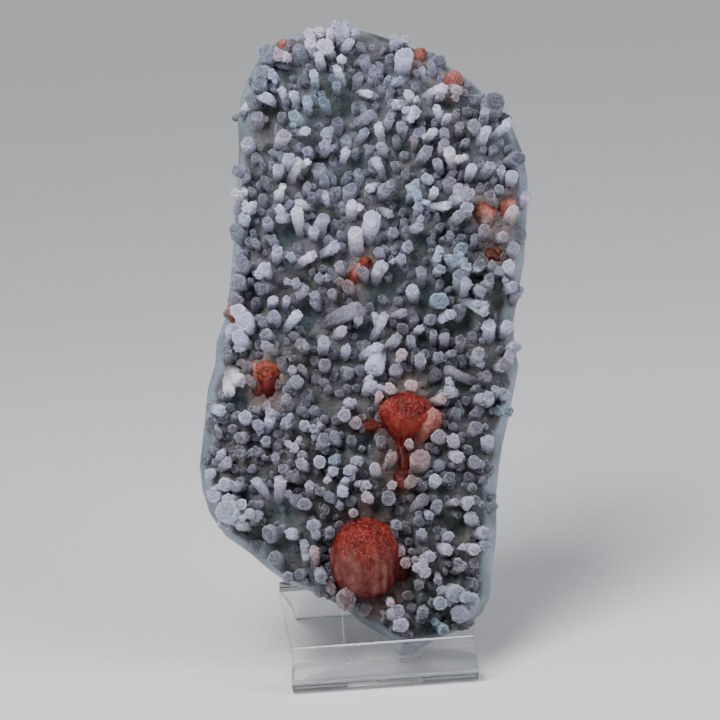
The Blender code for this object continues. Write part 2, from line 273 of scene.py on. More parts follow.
def fingerCoat():
    # A frosted crust over a greyer core: a tip has a pale rim, partly the crust seen edge-on and partly painted limb
    # brightening, faint rings and a pale heart.
    coat = Coat("frostedChalcedony", Subsurface_Weight=0.45, Subsurface_Scale=0.0013,
                Sheen_Weight=0.45, Sheen_Roughness=0.25, Sheen_Tint=(0.92, 0.92, 1.0, 1.0))
    coat.feed("Subsurface Radius", (1.0, 1.0, 1.1))
    growth = coat.add("ShaderNodeSeparateXYZ", inputs={0: coat.add("ShaderNodeUVMap", {"uv_map": "growth"})})
    ring = Wire(coat, growth.socket.node.outputs[1])
    opening = coat.add("ShaderNodeAttribute", {"attribute_name": "clearness"}, output="Fac")
    frost = coat.grain(1500, 3, roughness=0.8)
    patch = coat.grain(480, 2)
    grains = coat.cells(1300)
    wander = ring + (patch - 0.5) * 0.3
    # painted limb brightening: the pale rim on the tip's shoulder, partly the crust seen edge-on
    rim = wander.step(0.62, 0.84)
    faint = wander.step(0.24, 0.34) * (1 - wander.step(0.42, 0.54)) * 0.6
    heart = (1 - wander.step(0.06, 0.16)) * 0.7
    onTip = growth.step(0.68, 0.80)
    clear = onTip * (1 - rim.largest(faint).largest(heart)) * opening
    sugar = 0.58 + 2.2 * (frost - 0.5) + 0.8 * (patch - 0.5) + (0.5 - grains) * 0.6
    # whiter toward the tip; the grey toward the root is painted shade of the depth between the fingers
    white = growth.step(0.12, 0.66) * sugar * (1 - clear * 1.3) + onTip * rim * 0.7
    crust = tint(coat)
    core = coat.mix(1.0, crust, (0.46, 0.49, 0.50), "MULTIPLY")
    color = coat.mix(white, core, crust)
    # painted glints: pale sugar specks in the base colour, which are also a little glossier
    sparkle = coat.grain(2600, 1).step(0.60, 0.66)
    coat.feed("Base Color", coat.mix(sparkle * white * 0.8, color, coat.mix(0.5, crust, (0.82, 0.80, 0.92))))
    coat.feed("Roughness", 0.62 - sparkle * 0.3)
    coat.bump(frost + (1 - grains) * 0.6, 1.0, 0.001)
    return coat.material


def slabCoat():
    coat = Coat("chalcedonyMatrix", Roughness=0.5, Subsurface_Weight=0.08, Subsurface_Scale=0.002)
    coat.feed("Subsurface Radius", (1.0, 1.0, 1.1))
    base = tint(coat)
    cloud = coat.grain(260, 4)
    fine = coat.grain(1500, 3)
    speck = coat.grain(3600, 1).step(0.66, 0.74)
    color = coat.mix(cloud.step(0.35, 0.65) * 0.45, base, coat.mix(1.0, base, (0.55, 0.62, 0.62), "MULTIPLY"))
    color = coat.mix(fine.step(0.45, 0.75) * 0.35, color, coat.mix(1.0, color, (1.8, 1.75, 1.7), "MULTIPLY"))
    rimness = coat.add("ShaderNodeAttribute", {"attribute_name": "clearness"}, output="Fac")
    coat.feed("Base Color", coat.mix(speck * rimness * 0.6, color, (0.72, 0.76, 0.84)))
    coat.feed("Roughness", 0.62 - 0.22 * rimness)
    pits = coat.cells(900)
    coat.bump(fine * 0.6 + pits * 0.5 + cloud, 0.8, 0.0007)
    return coat.material


def crystalCoat():
    # The mesh holds the broad reds; this adds fine grit on the ends and silky streaks on the sides.
    coat = Coat("heulandite", Subsurface_Weight=0.12, Subsurface_Scale=0.0015, Specular_IOR_Level=0.18,
                Coat_Roughness=0.35)
    coat.feed("Subsurface Radius", (1.6, 0.4, 0.3))
    growth = coat.add("ShaderNodeSeparateXYZ", inputs={0: coat.add("ShaderNodeUVMap", {"uv_map": "growth"})})
    end = Wire(coat, growth.socket.node.outputs[1])
    base = tint(coat)
    grit = 0.15 + 1.3 * (1 - coat.cells(1150)) * coat.grain(2400, 2, roughness=0.7)
    spots = coat.grain(900, 2)
    streaks = coat.grain(1300, 3, coat.add("ShaderNodeMapping", inputs={
        "Vector": coat.place(), "Scale": (1.0, 0.35, 0.35)}))
    pattern = (0.30 + 0.35 * streaks) * (1 - end) + grit * end
    pale = coat.mix(0.35, coat.mix(1.0, base, (1.4, 1.9, 2.0), "MULTIPLY"), (0.34, 0.12, 0.10))
    deep = coat.mix(1.0, base, (0.55, 0.38, 0.36), "MULTIPLY")
    color = coat.mix(pattern.step(0.44, 0.62) * 0.75, base, pale)
    color = coat.mix((1 - spots.step(0.36, 0.50)) * 0.55, color, deep)
    coat.feed("Base Color", color)
    coat.feed("Roughness", 0.60 - 0.25 * pattern)
    coat.feed("Coat Weight", 0.02 * (1 - end))
    coat.bump(pattern + spots * 0.4, 0.7, 0.0005)
    return coat.material


def acrylicCoat():
    coat = Coat("clearAcrylic", Roughness=0.03, IOR=1.49, Transmission_Weight=1.0)
    coat.feed("Base Color", (0.955, 0.97, 0.98, 1))
    scuff = coat.grain(160, 4).step(0.50, 0.75)
    coat.feed("Roughness", 0.02 + 0.05 * scuff)
    coat.bump(coat.grain(90, 1), 0.03, 0.0004)
    return coat.material


def addPiece(name, bm, material, place=plateFrame):
    bm.transform(place)
    mesh = bpy.data.meshes.new(name)
    bm.to_mesh(mesh)
    bm.free()
    for face in mesh.polygons:
        face.use_smooth = True
    mesh.materials.append(material)
    piece = bpy.data.objects.new(name, mesh)
    bpy.context.scene.collection.objects.link(piece)
    return piece


def colorLayers(bm):
    return bm.verts.layers.float_color.new("tint"), bm.verts.layers.float.new("clearness")


stone = {
    "frost": (0.69, 0.655, 0.90),
    "sea": (0.28, 0.50, 0.62),
    "haze": (0.42, 0.38, 0.35),
    "cream": (0.70, 0.67, 0.66),
    "rose": (0.66, 0.36, 0.33),
    "shadedHollowSea": (0.026, 0.046, 0.055),
    "shadedHollowGreen": (0.034, 0.039, 0.032),
    "rimBlue": (0.23, 0.27, 0.34),
    "rimGreen": (0.13, 0.165, 0.18),
    "ground": (0.40, 0.40, 0.33),
    "rosyDeep": (0.050, 0.016, 0.012),
    "rosyPale": (0.205, 0.148, 0.138),
    "back": (0.070, 0.082, 0.075),
    "backPale": (0.205, 0.215, 0.200),
}
# x and y in the frame, reach in pixels, tint, strength
tintSpots = (
    (330, 105, 26, "sea", 0.75), (350, 178, 20, "sea", 0.65), (455, 275, 42, "sea", 0.55),
    (505, 500, 26, "sea", 0.85), (508, 410, 18, "sea", 0.7), (250, 85, 24, "sea", 0.5),
    (418, 190, 16, "sea", 0.5), (300, 118, 12, "sea", 0.5), (490, 590, 26, "sea", 0.5),
    (220, 410, 16, "sea", 0.5), (262, 560, 34, "sea", 0.7), (246, 235, 16, "sea", 0.4),
    (505, 140, 24, "sea", 0.35), (445, 625, 20, "sea", 0.35), (365, 45, 22, "haze", 0.5),
    (270, 130, 26, "haze", 0.6), (450, 110, 34, "haze", 0.5), (486, 215, 26, "haze", 0.5),
    (395, 160, 26, "haze", 0.45), (500, 265, 20, "haze", 0.6), (235, 380, 20, "cream", 0.8),
    (290, 350, 26, "cream", 0.4), (370, 225, 20, "cream", 0.4), (232, 515, 22, "cream", 0.4),
    (460, 370, 26, "haze", 0.4), (300, 375, 22, "haze", 0.4), (420, 590, 26, "haze", 0.4),
)
spotsOnSlab = [(*seenAt(x, y, 24), reach / 3, name, strength) for x, y, reach, name, strength in tintSpots]

# x, y and reach in pixels of the dark hollows between the fingers, read from the photograph
hollowSpots = (
    (289, 74, 8), (343, 105, 15), (351, 86, 8), (272, 106, 6), (271, 150, 6), (320, 158, 10), (361, 163, 13),
    (380, 66, 8), (305, 184, 8), (257, 181, 7), (368, 126, 5), (449, 102, 7), (430, 122, 6), (417, 122, 5),
    (403, 150, 9), (449, 171, 7), (458, 138, 5), (403, 201, 11), (444, 218, 7), (444, 231, 9), (406, 225, 5),
    (383, 186, 6), (260, 200, 10), (282, 236, 14), (320, 209, 8), (331, 223, 11), (313, 269, 10),
    (306, 286, 9), (284, 288, 9), (259, 305, 7), (310, 311, 9), (303, 325, 10), (313, 343, 8), (311, 366, 9),
    (355, 329, 9), (377, 301, 11), (371, 287, 7), (339, 360, 7), (327, 261, 6), (424, 246, 12), (397, 275, 9),
    (386, 291, 14), (421, 297, 11), (392, 325, 6), (422, 344, 12), (406, 354, 7), (464, 327, 10),
    (463, 311, 8), (435, 385, 8), (465, 384, 7), (500, 304, 9), (473, 248, 5), (480, 273, 6), (454, 358, 6),
    (238, 403, 11), (315, 407, 11), (231, 430, 6), (248, 487, 10), (273, 514, 9), (289, 546, 9),
    (259, 534, 13), (295, 482, 6), (291, 511, 8), (369, 440, 8), (340, 447, 6), (327, 472, 8), (472, 450, 8),
    (453, 475, 9), (443, 492, 7), (485, 495, 8), (457, 531, 8), (444, 512, 7), (451, 575, 8), (409, 581, 8),
    (415, 592, 8), (428, 624, 10), (361, 610, 7), (380, 508, 6),
)
hollowsOnSlab = [(*seenAt(x, y, 20), reach / 3) for x, y, reach in hollowSpots]

heulandite = {
    "cut": 0.5,  # mm between the points of a body
    "grain": 1.25,
    "grainHeight": 0.80,
    "clump": 4.5,
    "clumpHeight": 0.75,
    "crack": 6.5,
    "crackDepth": 0.5,
    "lobes": 0.12,
    "ribs": 0.06,
    "ribWidth": 2.6,
    "footBlunt": 0.40,  # 1 is a round end, less is a flatter one
    "headBlunt": 0.78,
    "margin": 0.64,  # share of a body's half width that fingers stay out of
}
# each tint: its own; a paler one, painted on top of its grains as highlight and used for the pale streaks on the
# sides; and a darker one, painted in its creases and cracks as shade and used for dark patches
reds = {
    "red": ((0.132, 0.007, 0.004), (0.225, 0.042, 0.030), (0.075, 0.002, 0.001)),
    "ember": ((0.180, 0.018, 0.011), (0.245, 0.045, 0.031), (0.108, 0.006, 0.004)),
    "coral": ((0.340, 0.120, 0.092), (0.460, 0.245, 0.215), (0.200, 0.045, 0.030)),
    "salmon": ((0.270, 0.092, 0.074), (0.400, 0.210, 0.185), (0.160, 0.030, 0.020)),
    "blush": ((0.215, 0.135, 0.122), (0.300, 0.225, 0.210), (0.140, 0.060, 0.048)),
    "orange": ((0.175, 0.028, 0.010), (0.250, 0.070, 0.045), (0.080, 0.003, 0.002)),
    "mauve": ((0.112, 0.022, 0.017), (0.150, 0.050, 0.042), (0.080, 0.004, 0.002)),
    "dark": ((0.076, 0.005, 0.004), (0.105, 0.013, 0.010), (0.040, 0.002, 0.001)),
    "brown": ((0.100, 0.034, 0.018), (0.150, 0.075, 0.058), (0.045, 0.008, 0.004)),
}
crystals = {
    # each body: its foot, its head (across, up, out from the slab's back), width and depth, share of the width
    # at its foot and where along it the whole is reached, where its grains start, tints of its end and sides
    "heulandite_barrel": (
        ((-4.0, 23.0, 15.5), (-3.6, 44.0, 32.0), (22.8, 21.0), (0.86, 0.0, 0.25), 0.76, "red", "mauve"),
        ((4.6, 21.5, 13.5), (8.2, 31.5, 20.0), (7.0, 6.0), (0.60, 0.0, 0.50), 0.70, "dark", "dark"),
    ),
    "heulandite_sheaf": (
        ((10.6, 66.0, 17.0), (14.2, 86.8, 29.5), (19.5, 14.0), (0.26, 0.20, 0.80), 0.74, "red", "ember"),
        ((9.0, 72.0, 16.0), (7.6, 84.5, 26.5), (7.5, 8.0), (0.40, 0.10, 0.80), 0.60, "red", "dark"),
        ((15.5, 70.0, 18.0), (22.6, 81.0, 27.5), (8.8, 7.5), (0.40, 0.10, 0.80), 0.62, "salmon", "salmon"),
        ((8.0, 77.0, 17.0), (-2.4, 78.6, 21.0), (4.6, 4.6), (0.70, 0.0, 0.50), 0.30, "dark", "dark"),
        ((10.9, 74.0, 18.5), (11.0, 61.5, 20.0), (4.2, 4.6), (0.90, 0.0, 0.50), 0.90, "dark", "dark"),
        ((11.2, 67.0, 17.5), (10.1, 55.5, 20.0), (6.6, 5.2), (0.50, 0.0, 0.60), 0.30, "dark", "dark"),
    ),
    "heulandite_left": (
        ((-32.6, 94.4, 17.6), (-32.8, 101.4, 23.6), (8.8, 6.4), (0.92, 0.0, 0.30), 0.45, "orange", "orange"),
        ((-32.4, 87.6, 16.0), (-32.1, 97.8, 22.4), (7.0, 6.0), (0.35, 0.0, 0.80), 0.95, "dark", "dark"),
        ((-34.6, 89.4, 15.5), (-36.2, 96.8, 20.6), (5.6, 5.0), (0.60, 0.0, 0.50), 0.80, "mauve", "mauve"),
        ((-31.0, 89.4, 15.5), (-29.6, 96.6, 20.6), (5.0, 4.6), (0.60, 0.0, 0.50), 0.80, "mauve", "mauve"),
        ((-36.6, 94.2, 18.5), (-36.6, 101.4, 23.6), (2.6, 3.4), (0.90, 0.0, 0.50), 0.30, "salmon", "salmon"),
    ),
    "heulandite_centre": (
        ((0.4, 129.4, 19.5), (3.9, 135.0, 23.0), (4.4, 4.2), (0.80, 0.0, 0.60), 0.55, "orange", "orange"),
        ((-4.6, 124.2, 18.0), (2.4, 133.0, 22.0), (4.8, 4.2), (0.70, 0.0, 0.60), 0.95, "salmon", "salmon"),
    ),
    "heulandite_right": (
        ((44.4, 141.5, 16.5), (45.2, 150.8, 21.5), (7.8, 6.6), (0.80, 0.0, 0.50), 0.66, "coral", "blush"),
        ((51.8, 142.6, 14.5), (53.4, 151.8, 20.0), (6.4, 5.6), (0.70, 0.0, 0.60), 0.55, "coral", "salmon"),
    ),
    "heulandite_right_low": (
        ((45.2, 130.6, 17.6), (45.6, 135.2, 21.0), (4.0, 3.6), (0.80, 0.0, 0.60), 0.50, "brown", "dark"),
        ((47.4, 130.4, 16.6), (47.8, 135.4, 20.2), (3.8, 3.6), (0.70, 0.0, 0.60), 0.50, "brown", "brown"),
    ),
    "heulandite_top_left": (
        ((-21.6, 207.6, 12.5), (-18.6, 213.4, 16.6), (5.4, 4.2), (0.70, 0.0, 0.60), 0.35, "salmon", "salmon"),
    ),
    "heulandite_top_middle": (
        ((25.4, 201.4, 15.5), (27.6, 206.8, 18.6), (4.8, 4.0), (0.70, 0.0, 0.60), 0.40, "salmon", "blush"),
    ),
    "heulandite_top_right": (
        ((35.2, 190.6, 17.0), (39.2, 197.2, 20.0), (6.6, 4.6), (0.80, 0.0, 0.60), 0.35, "salmon", "blush"),
    ),
    "heulandite_left_edge": (
        ((-42.8, 116.8, 12.5), (-43.2, 123.8, 15.0), (4.0, 3.8), (0.70, 0.0, 0.60), 0.40, "salmon", "mauve"),
    ),
}


def segmentDistance(point, start, end):
    line = end - start
    part = 0.0 if line.length_squared < 1e-6 else max(0.0, min(1.0, (point - start).dot(line) / line.length_squared))
    return (point - start - line * part).length


def crystalDistance(across, up):
    # How far a spot is from the nearest crystal, seen flat on; below 0 inside one.
    spot = Vector((across, up))
    bodies = [body for group in crystals.values() for body in group]
    return min(
        segmentDistance(spot, Vector(foot[:2]), Vector(head[:2])) - width / 2 * heulandite["margin"]
        for foot, head, (width, _), *_ in bodies
    )


def rosiness(across, up):
    # How much a crystal's red shows through the stone here.
    return 1 - smooth(0.0, 4.5, crystalDistance(across, up))


def stoneTint(across, up, start):
    color = stone[start]
    for x, y, reach, name, strength in spotsOnSlab:
        away = math.hypot(across - x, up - y) / reach
        if away < 2.2:
            color = blend(color, stone[name], strength * math.exp(-away * away))
    # painted light: brighter toward the top left, as if lit from above, and a little bluer there
    high = smooth(20, 200, up - across * 0.4)
    color = blend(color, stone["sea"], 0.16 * high)
    paintedLightFromAbove = 0.585 + 0.755 * high
    color = (color[0] * paintedLightFromAbove, color[1] * paintedLightFromAbove, color[2] * paintedLightFromAbove * (0.97 + 0.08 * high))
    drift = noise.noise(Vector((across / 13, up / 13, 31.0)))
    color = blend(color, stone["sea" if drift > 0 else "haze"], min(0.35, abs(drift) * 0.5))
    return blend(color, stone["rose"], 0.5 * rosiness(across, up))


def hollowness(across, up):
    # 1 in the dark hollows that the fingers stand around, where the ground is painted dark as shade, 0 where the
    # stone is hazy.
    deepest = max(math.exp(-((across - x) ** 2 + (up - y) ** 2) / reach ** 2) for x, y, reach in hollowsOnSlab)
    drift = noise.noise(Vector((across / 8, up / 8, 70)))
    return min(1.0, deepest + 0.5 * smooth(0.15, 0.5, drift))


def groundTint(across, up):
    # The stone between the fingers: hazy grey, and in the hollows a dark green or blue, partly the stone's own dark
    # teal and partly painted shade.
    drift = noise.noise(Vector((across / 17, up / 17, 50)))
    deep = blend(stone["shadedHollowSea"], stone["shadedHollowGreen"], smooth(-0.3, 0.4, drift))
    hazy = blend(stoneTint(across, up, "frost"), stone["ground"], 0.55)
    shade = 0.155 + 0.06 * noise.noise(Vector((across / 5, up / 5, 88)))
    color = blend(tuple(shade * channel for channel in hazy), deep, smooth(0.1, 0.7, hollowness(across, up)))
    # the stone is painted paler beside the small crystals higher up and darker beside the two large ones
    rosy = blend(stone["rosyDeep"], stone["rosyPale"], smooth(82, 90, up))
    return blend(color, rosy, 0.65 * rosiness(across, up))


def slabPoint(s, t, side):
    # s across and t up, each 0 to 1, eased so that the rim is finely cut.
    rows = slab["rows"]
    up = rows[0][0] + (rows[-1][0] - rows[0][0]) * t
    left, right = plateEdges(up)
    if side == "back":
        inset = (right - left) * slab["backInset"]
        left, right = left + inset, right - inset
    eased = 0.55 * s + 0.45 * (0.5 - 0.5 * math.cos(math.pi * s))
    across = left + (right - left) * eased
    if side == "back":
        crags = 0.5 + noise.fractal(Vector((across / 9, up / 9, 77)), 0.8, 2.1, 5)
        return Vector((across, up, max(0.0, backHeight(across, up)) + 1.1 * max(0.0, crags) * smooth(25, 45, up)))
    rim = smooth(0.5, 5.0, edgeDistance(across, up))
    near = noise.voronoi(Vector((across / 3.1, up / 3.1, 5)))[0][0]
    fine = noise.noise(Vector((across / 1.3, up / 1.3, 12)))
    fill = slab["hazeRise"] - (slab["hazeRise"] + slab["hollowDrop"]) * hollowness(across, up)
    druse = (2.4 * (0.75 - near) + 1.0 * fine + fill) * rim
    return Vector((across, up, frontHeight(across, up) + druse - 0.5))


def buildMatrix(material):
    bm = bmesh.new()
    columns, courses = slab["columns"], slab["courses"]
    for side in ("front", "back"):
        known = set(bm.verts)
        bmesh.ops.create_grid(bm, x_segments=columns, y_segments=courses, size=0.5)
        for vert in set(bm.verts) - known:
            vert.co = slabPoint(vert.co.x + 0.5, vert.co.y + 0.5, side)
    boundary = [edge for edge in bm.edges if edge.is_boundary]
    bridge = bmesh.ops.bridge_loops(bm, edges=boundary)
    split = bmesh.ops.subdivide_edges(bm, edges=bridge["edges"], cuts=slab["rimCuts"], use_grid_fill=True)
    rimVerts = {item for item in split["geom_inner"] if isinstance(item, bmesh.types.BMVert)}
    bm.normal_update()
    for vert in rimVerts:
        rough = noise.noise(vert.co / 5) + 0.6 * noise.noise(vert.co / 1.7)
        push = slab["rimBulge"] * smooth(0.0, 3.0, vert.co.z) * (0.1 + 0.5 * rough)
        outward = Vector((vert.normal.x, vert.normal.y, 0))
        if outward.length > 0.1:
            vert.co += outward.normalized() * push * 0.5
    bmesh.ops.recalc_face_normals(bm, faces=bm.faces)
    tintLayer, clearLayer = colorLayers(bm)
    for vert in bm.verts:
        across, up, out = vert.co
        reach = 5.0 + 4.0 * noise.noise(Vector((across / 12, up / 12, 64)))
        rim = 1 - smooth(reach * 0.55, reach, edgeDistance(across, up))
        front = smooth(3.0, 6.5, out)
        inside = groundTint(across, up)
        edge = blend(stone["rimBlue"], stone["rimGreen"], smooth(-0.25, 0.35, noise.noise(vert.co / 15)))
        color = blend(inside, edge, rim)
        stain = noise.fractal(Vector((across / 16, up / 10, 140)), 0.7, 2.2, 4)
        behind = blend(stone["back"], stone["backPale"], smooth(-0.1, 0.9, stain))
        color = blend(behind, color, front)
        vert[tintLayer] = (*color, 1)
        vert[clearLayer] = rim * front
    return addPiece("chalcedony_matrix", bm, material)


finger = {
    # share of the straight part, share of the dome, share of the radius, how far from the tip's middle
    "tall": (
        8,
        ((0.05, 0, 0.80, 1), (0.42, 0, 0.86, 1), (0.80, 0, 0.98, 1), (1, 0.10, 0.98, 1),
         (1, 0.70, 0.84, 0.82), (1, 1.0, 0.44, 0.42)),
    ),
    "short": (6, ((0.05, 0, 0.90, 1), (0.70, 0, 1.04, 1), (1, 0.30, 1.02, 1), (1, 0.96, 0.58, 0.5))),
    "domeHeight": 0.74,
    "lumps": 0.30,
    "knobs": 0.055,
    "bend": 0.10,
    "root": 3.0,
    "bareRim": 4.6,
    "mostLean": {"ringed": 0.14, "facing": 0.26, "mounds": 0.30},  # radians, of those that face the viewer
}


crusts = {
    # pieces by height on the slab, subdivisions, and size and height of the sugary grains in mm
    "fingers": {"bands": 6, "levels": 2, "grain": 1.15, "height": 1.0},
    "lows": {"bands": 3, "levels": 1, "grain": 1.7, "height": 0.9},
}


def fingerDirection(azimuth, lean):
    flat = math.sin(lean)
    return Vector((flat * math.cos(azimuth), flat * math.sin(azimuth), math.cos(lean)))


def leanOf(across, up, chance):
    dx, dy = across - 9, up - 58
    azimuth = math.atan2(dy, dx) + math.radians(chance.gauss(0, 34))
    away = min(1.0, math.hypot(dx, dy) / 120)
    lean = 46 * away ** 0.8 + chance.gauss(0, 12)
    return azimuth, math.radians(min(56.0, max(2.0, lean)))


def growFinger(bm, layers, base, direction, length, radius, tints, clearness, seed, form="tall"):
    # A rounded finger from a sphere's rings, lumpy and a little bent; tints are its foot's, the ground's colour with
    # its painted hollow shade, and its tip's.
    tintLayer, clearLayer, growthLayer = layers
    chance = random.Random(seed)
    sides, profile = finger[form]
    levels = len(profile) + 1
    made = bmesh.ops.create_uvsphere(bm, u_segments=sides, v_segments=levels, radius=1.0)
    turn = Vector((0, 0, 1)).rotation_difference(direction).to_matrix()
    spin = chance.uniform(0, 6.28)
    dome = min(length * 0.6, radius * finger["domeHeight"] * chance.uniform(0.75, 1.15))
    straight = length - dome
    sway = Vector((chance.uniform(-1, 1), chance.uniform(-1, 1), 0)) * finger["bend"] * length
    oval = chance.uniform(0.86, 1.10)
    taper = chance.uniform(-0.14, 0.10)
    growth = {}
    for vert in made["verts"]:
        level = round((1 - math.acos(max(-1.0, min(1.0, vert.co.z))) / math.pi) * levels)
        angle = math.atan2(vert.co.y, vert.co.x) + spin
        if level in (0, levels):
            height, wide, ring = length * (level > 0), 0.0, float(level == 0)
        else:
            along, rise, share, ring = profile[level - 1]
            height, wide = straight * along + dome * rise, share * radius
        part = height / length
        knots = Vector((math.cos(angle), math.sin(angle), height / radius * 0.8 + seed * 3.1))
        wide *= 1 + finger["lumps"] * noise.noise(knots) + taper * (part - 0.5)
        wide *= 1 + 0.14 * noise.noise(Vector((height / radius * 1.3, seed * 1.7, 0)))
        spot = Vector((math.cos(angle) * wide, math.sin(angle) * wide * oval, height))
        spot += sway * part * part
        if ring < 1.0:
            spot.z += 0.30 * radius * noise.noise(knots * 1.8)
        spot += Vector([chance.gauss(0, finger["knobs"] * radius) for _ in range(3)])
        vert.co = base + turn @ spot
        vert[tintLayer] = (*blend(*tints, smooth(0.18, 0.62, part)), 1)
        vert[clearLayer] = clearness
        growth[vert] = (part, ring)
    for face in {face for vert in made["verts"] for face in vert.link_faces}:
        for loop in face.loops:
            loop[growthLayer].uv = growth[loop.vert]


def latticeFingers():
    for row in range(43):
        for column in range(-12, 13):
            chance = random.Random(row * 101 + column)
            across = (column + 0.5 * (row % 2)) * 5.6 + chance.uniform(-1, 1) * 1.7
            up = 4 + row * 5.0 + chance.uniform(-1, 1) * 1.7
            azimuth, lean = leanOf(across, up, chance)
            length = chance.uniform(6.0, 9.5)
            radius = chance.uniform(2.4, 3.3)
            if min(edgeDistance(across, up), edgeDistance(across, up + 4)) > finger["bareRim"]:
                main = row % 2 == 0 and column % 2 == 0
                yield row * 101 + column, (across, up), azimuth, lean, length, radius, main


def lowFingers():
    # The low, greyer ones that crowd between the others.
    step = 3.5
    for row in range(int(216 / step)):
        for column in range(-17, 19):
            chance = random.Random(row * 211 + column * 3 + 9000)
            across = (column + 0.5 * (row % 2)) * step + chance.uniform(-1, 1) * 1.2
            up = 3 + row * step + chance.uniform(-1, 1) * 1.2
            if min(edgeDistance(across, up), edgeDistance(across, up + 4)) > finger["bareRim"]:
                azimuth, lean = leanOf(across, up, chance)
                upright = smooth(1.0, 12.0, edgeDistance(across, up))
                direction = fingerDirection(azimuth, lean * 0.7 * upright)
                length, radius = chance.uniform(2.6, 6.2), chance.uniform(1.2, 2.3)
                if chance.random() > 0.2:
                    yield row * 211 + column, (across, up), direction, length, radius


def rimMounds():
    # Broad low swellings of the crust along the rim.
    for index in range(110):
        chance = random.Random(index + 4000)
        up = 8 + (index // 2) * 3.7 + chance.uniform(-1, 1) * 2.4
        radius = chance.uniform(1.4, 4.2)
        inward = radius * 0.9 + chance.uniform(-0.6, 4.5)
        left, right = plateEdges(up)
        across, outward = (left + inward, -1) if index % 2 else (right - inward, 1)
        if edgeDistance(across, up) > radius * 0.7 and right - left > 30 and chance.random() > 0.35:
            direction = Vector((outward * chance.uniform(0.1, 0.5), 0, 1)).normalized()
            yield (across, up), direction, radius, chance


def withinRim(spot, azimuth, lean, length, radius):
    for _ in range(12):
        tip = Vector((*spot, 0)) + fingerDirection(azimuth, lean) * length
        if edgeDistance(tip.x, tip.y) > radius:
            break
        lean *= 0.75
    return fingerDirection(azimuth, lean)


def seenFingers():
    # The fingers that stand out in the photograph: root, centre of the tip, radius, tone, tint, clearness.
    for group, entries in seenTable.items():
        for index, entry in enumerate(entries):
            chance = random.Random(len(group) * 1000 + index)
            if group == "leaning":
                x, y, rootX, rootY, width, tone, *named = entry
            else:
                x, y, width, tone, *named = entry
                rootX, rootY = x, y
            radius = width / 6
            flat = math.hypot(x - rootX, y - rootY) / 3
            share = min(radius, flat / 2) / max(1.0, flat)
            x, y = x + (rootX - x) * share, y + (rootY - y) * share
            out = frontHeight(*seenAt(rootX, rootY, 18))
            whole = max(8 + 3 * tone, flat * 1.1 + 2)
            rise = min(11.0, math.sqrt(max(25.0, whole * whole - flat * flat)))
            tip = Vector((*seenAt(x, y, out + rise), out + rise))
            if group == "leaning":
                root = Vector((*seenAt(rootX, rootY, out), out))
            else:
                azimuth, lean = leanOf(tip.x, tip.y, chance)
                root = tip - fingerDirection(azimuth, min(lean, finger["mostLean"][group])) * rise
            root.z = frontHeight(root.x, root.y) - 0.5
            clearness = {"ringed": 1.0, "facing": 0.95 - 0.45 * tone}.get(group, 0.3)
            yield root, tip, radius, tone, named[0] if named else "frost", clearness


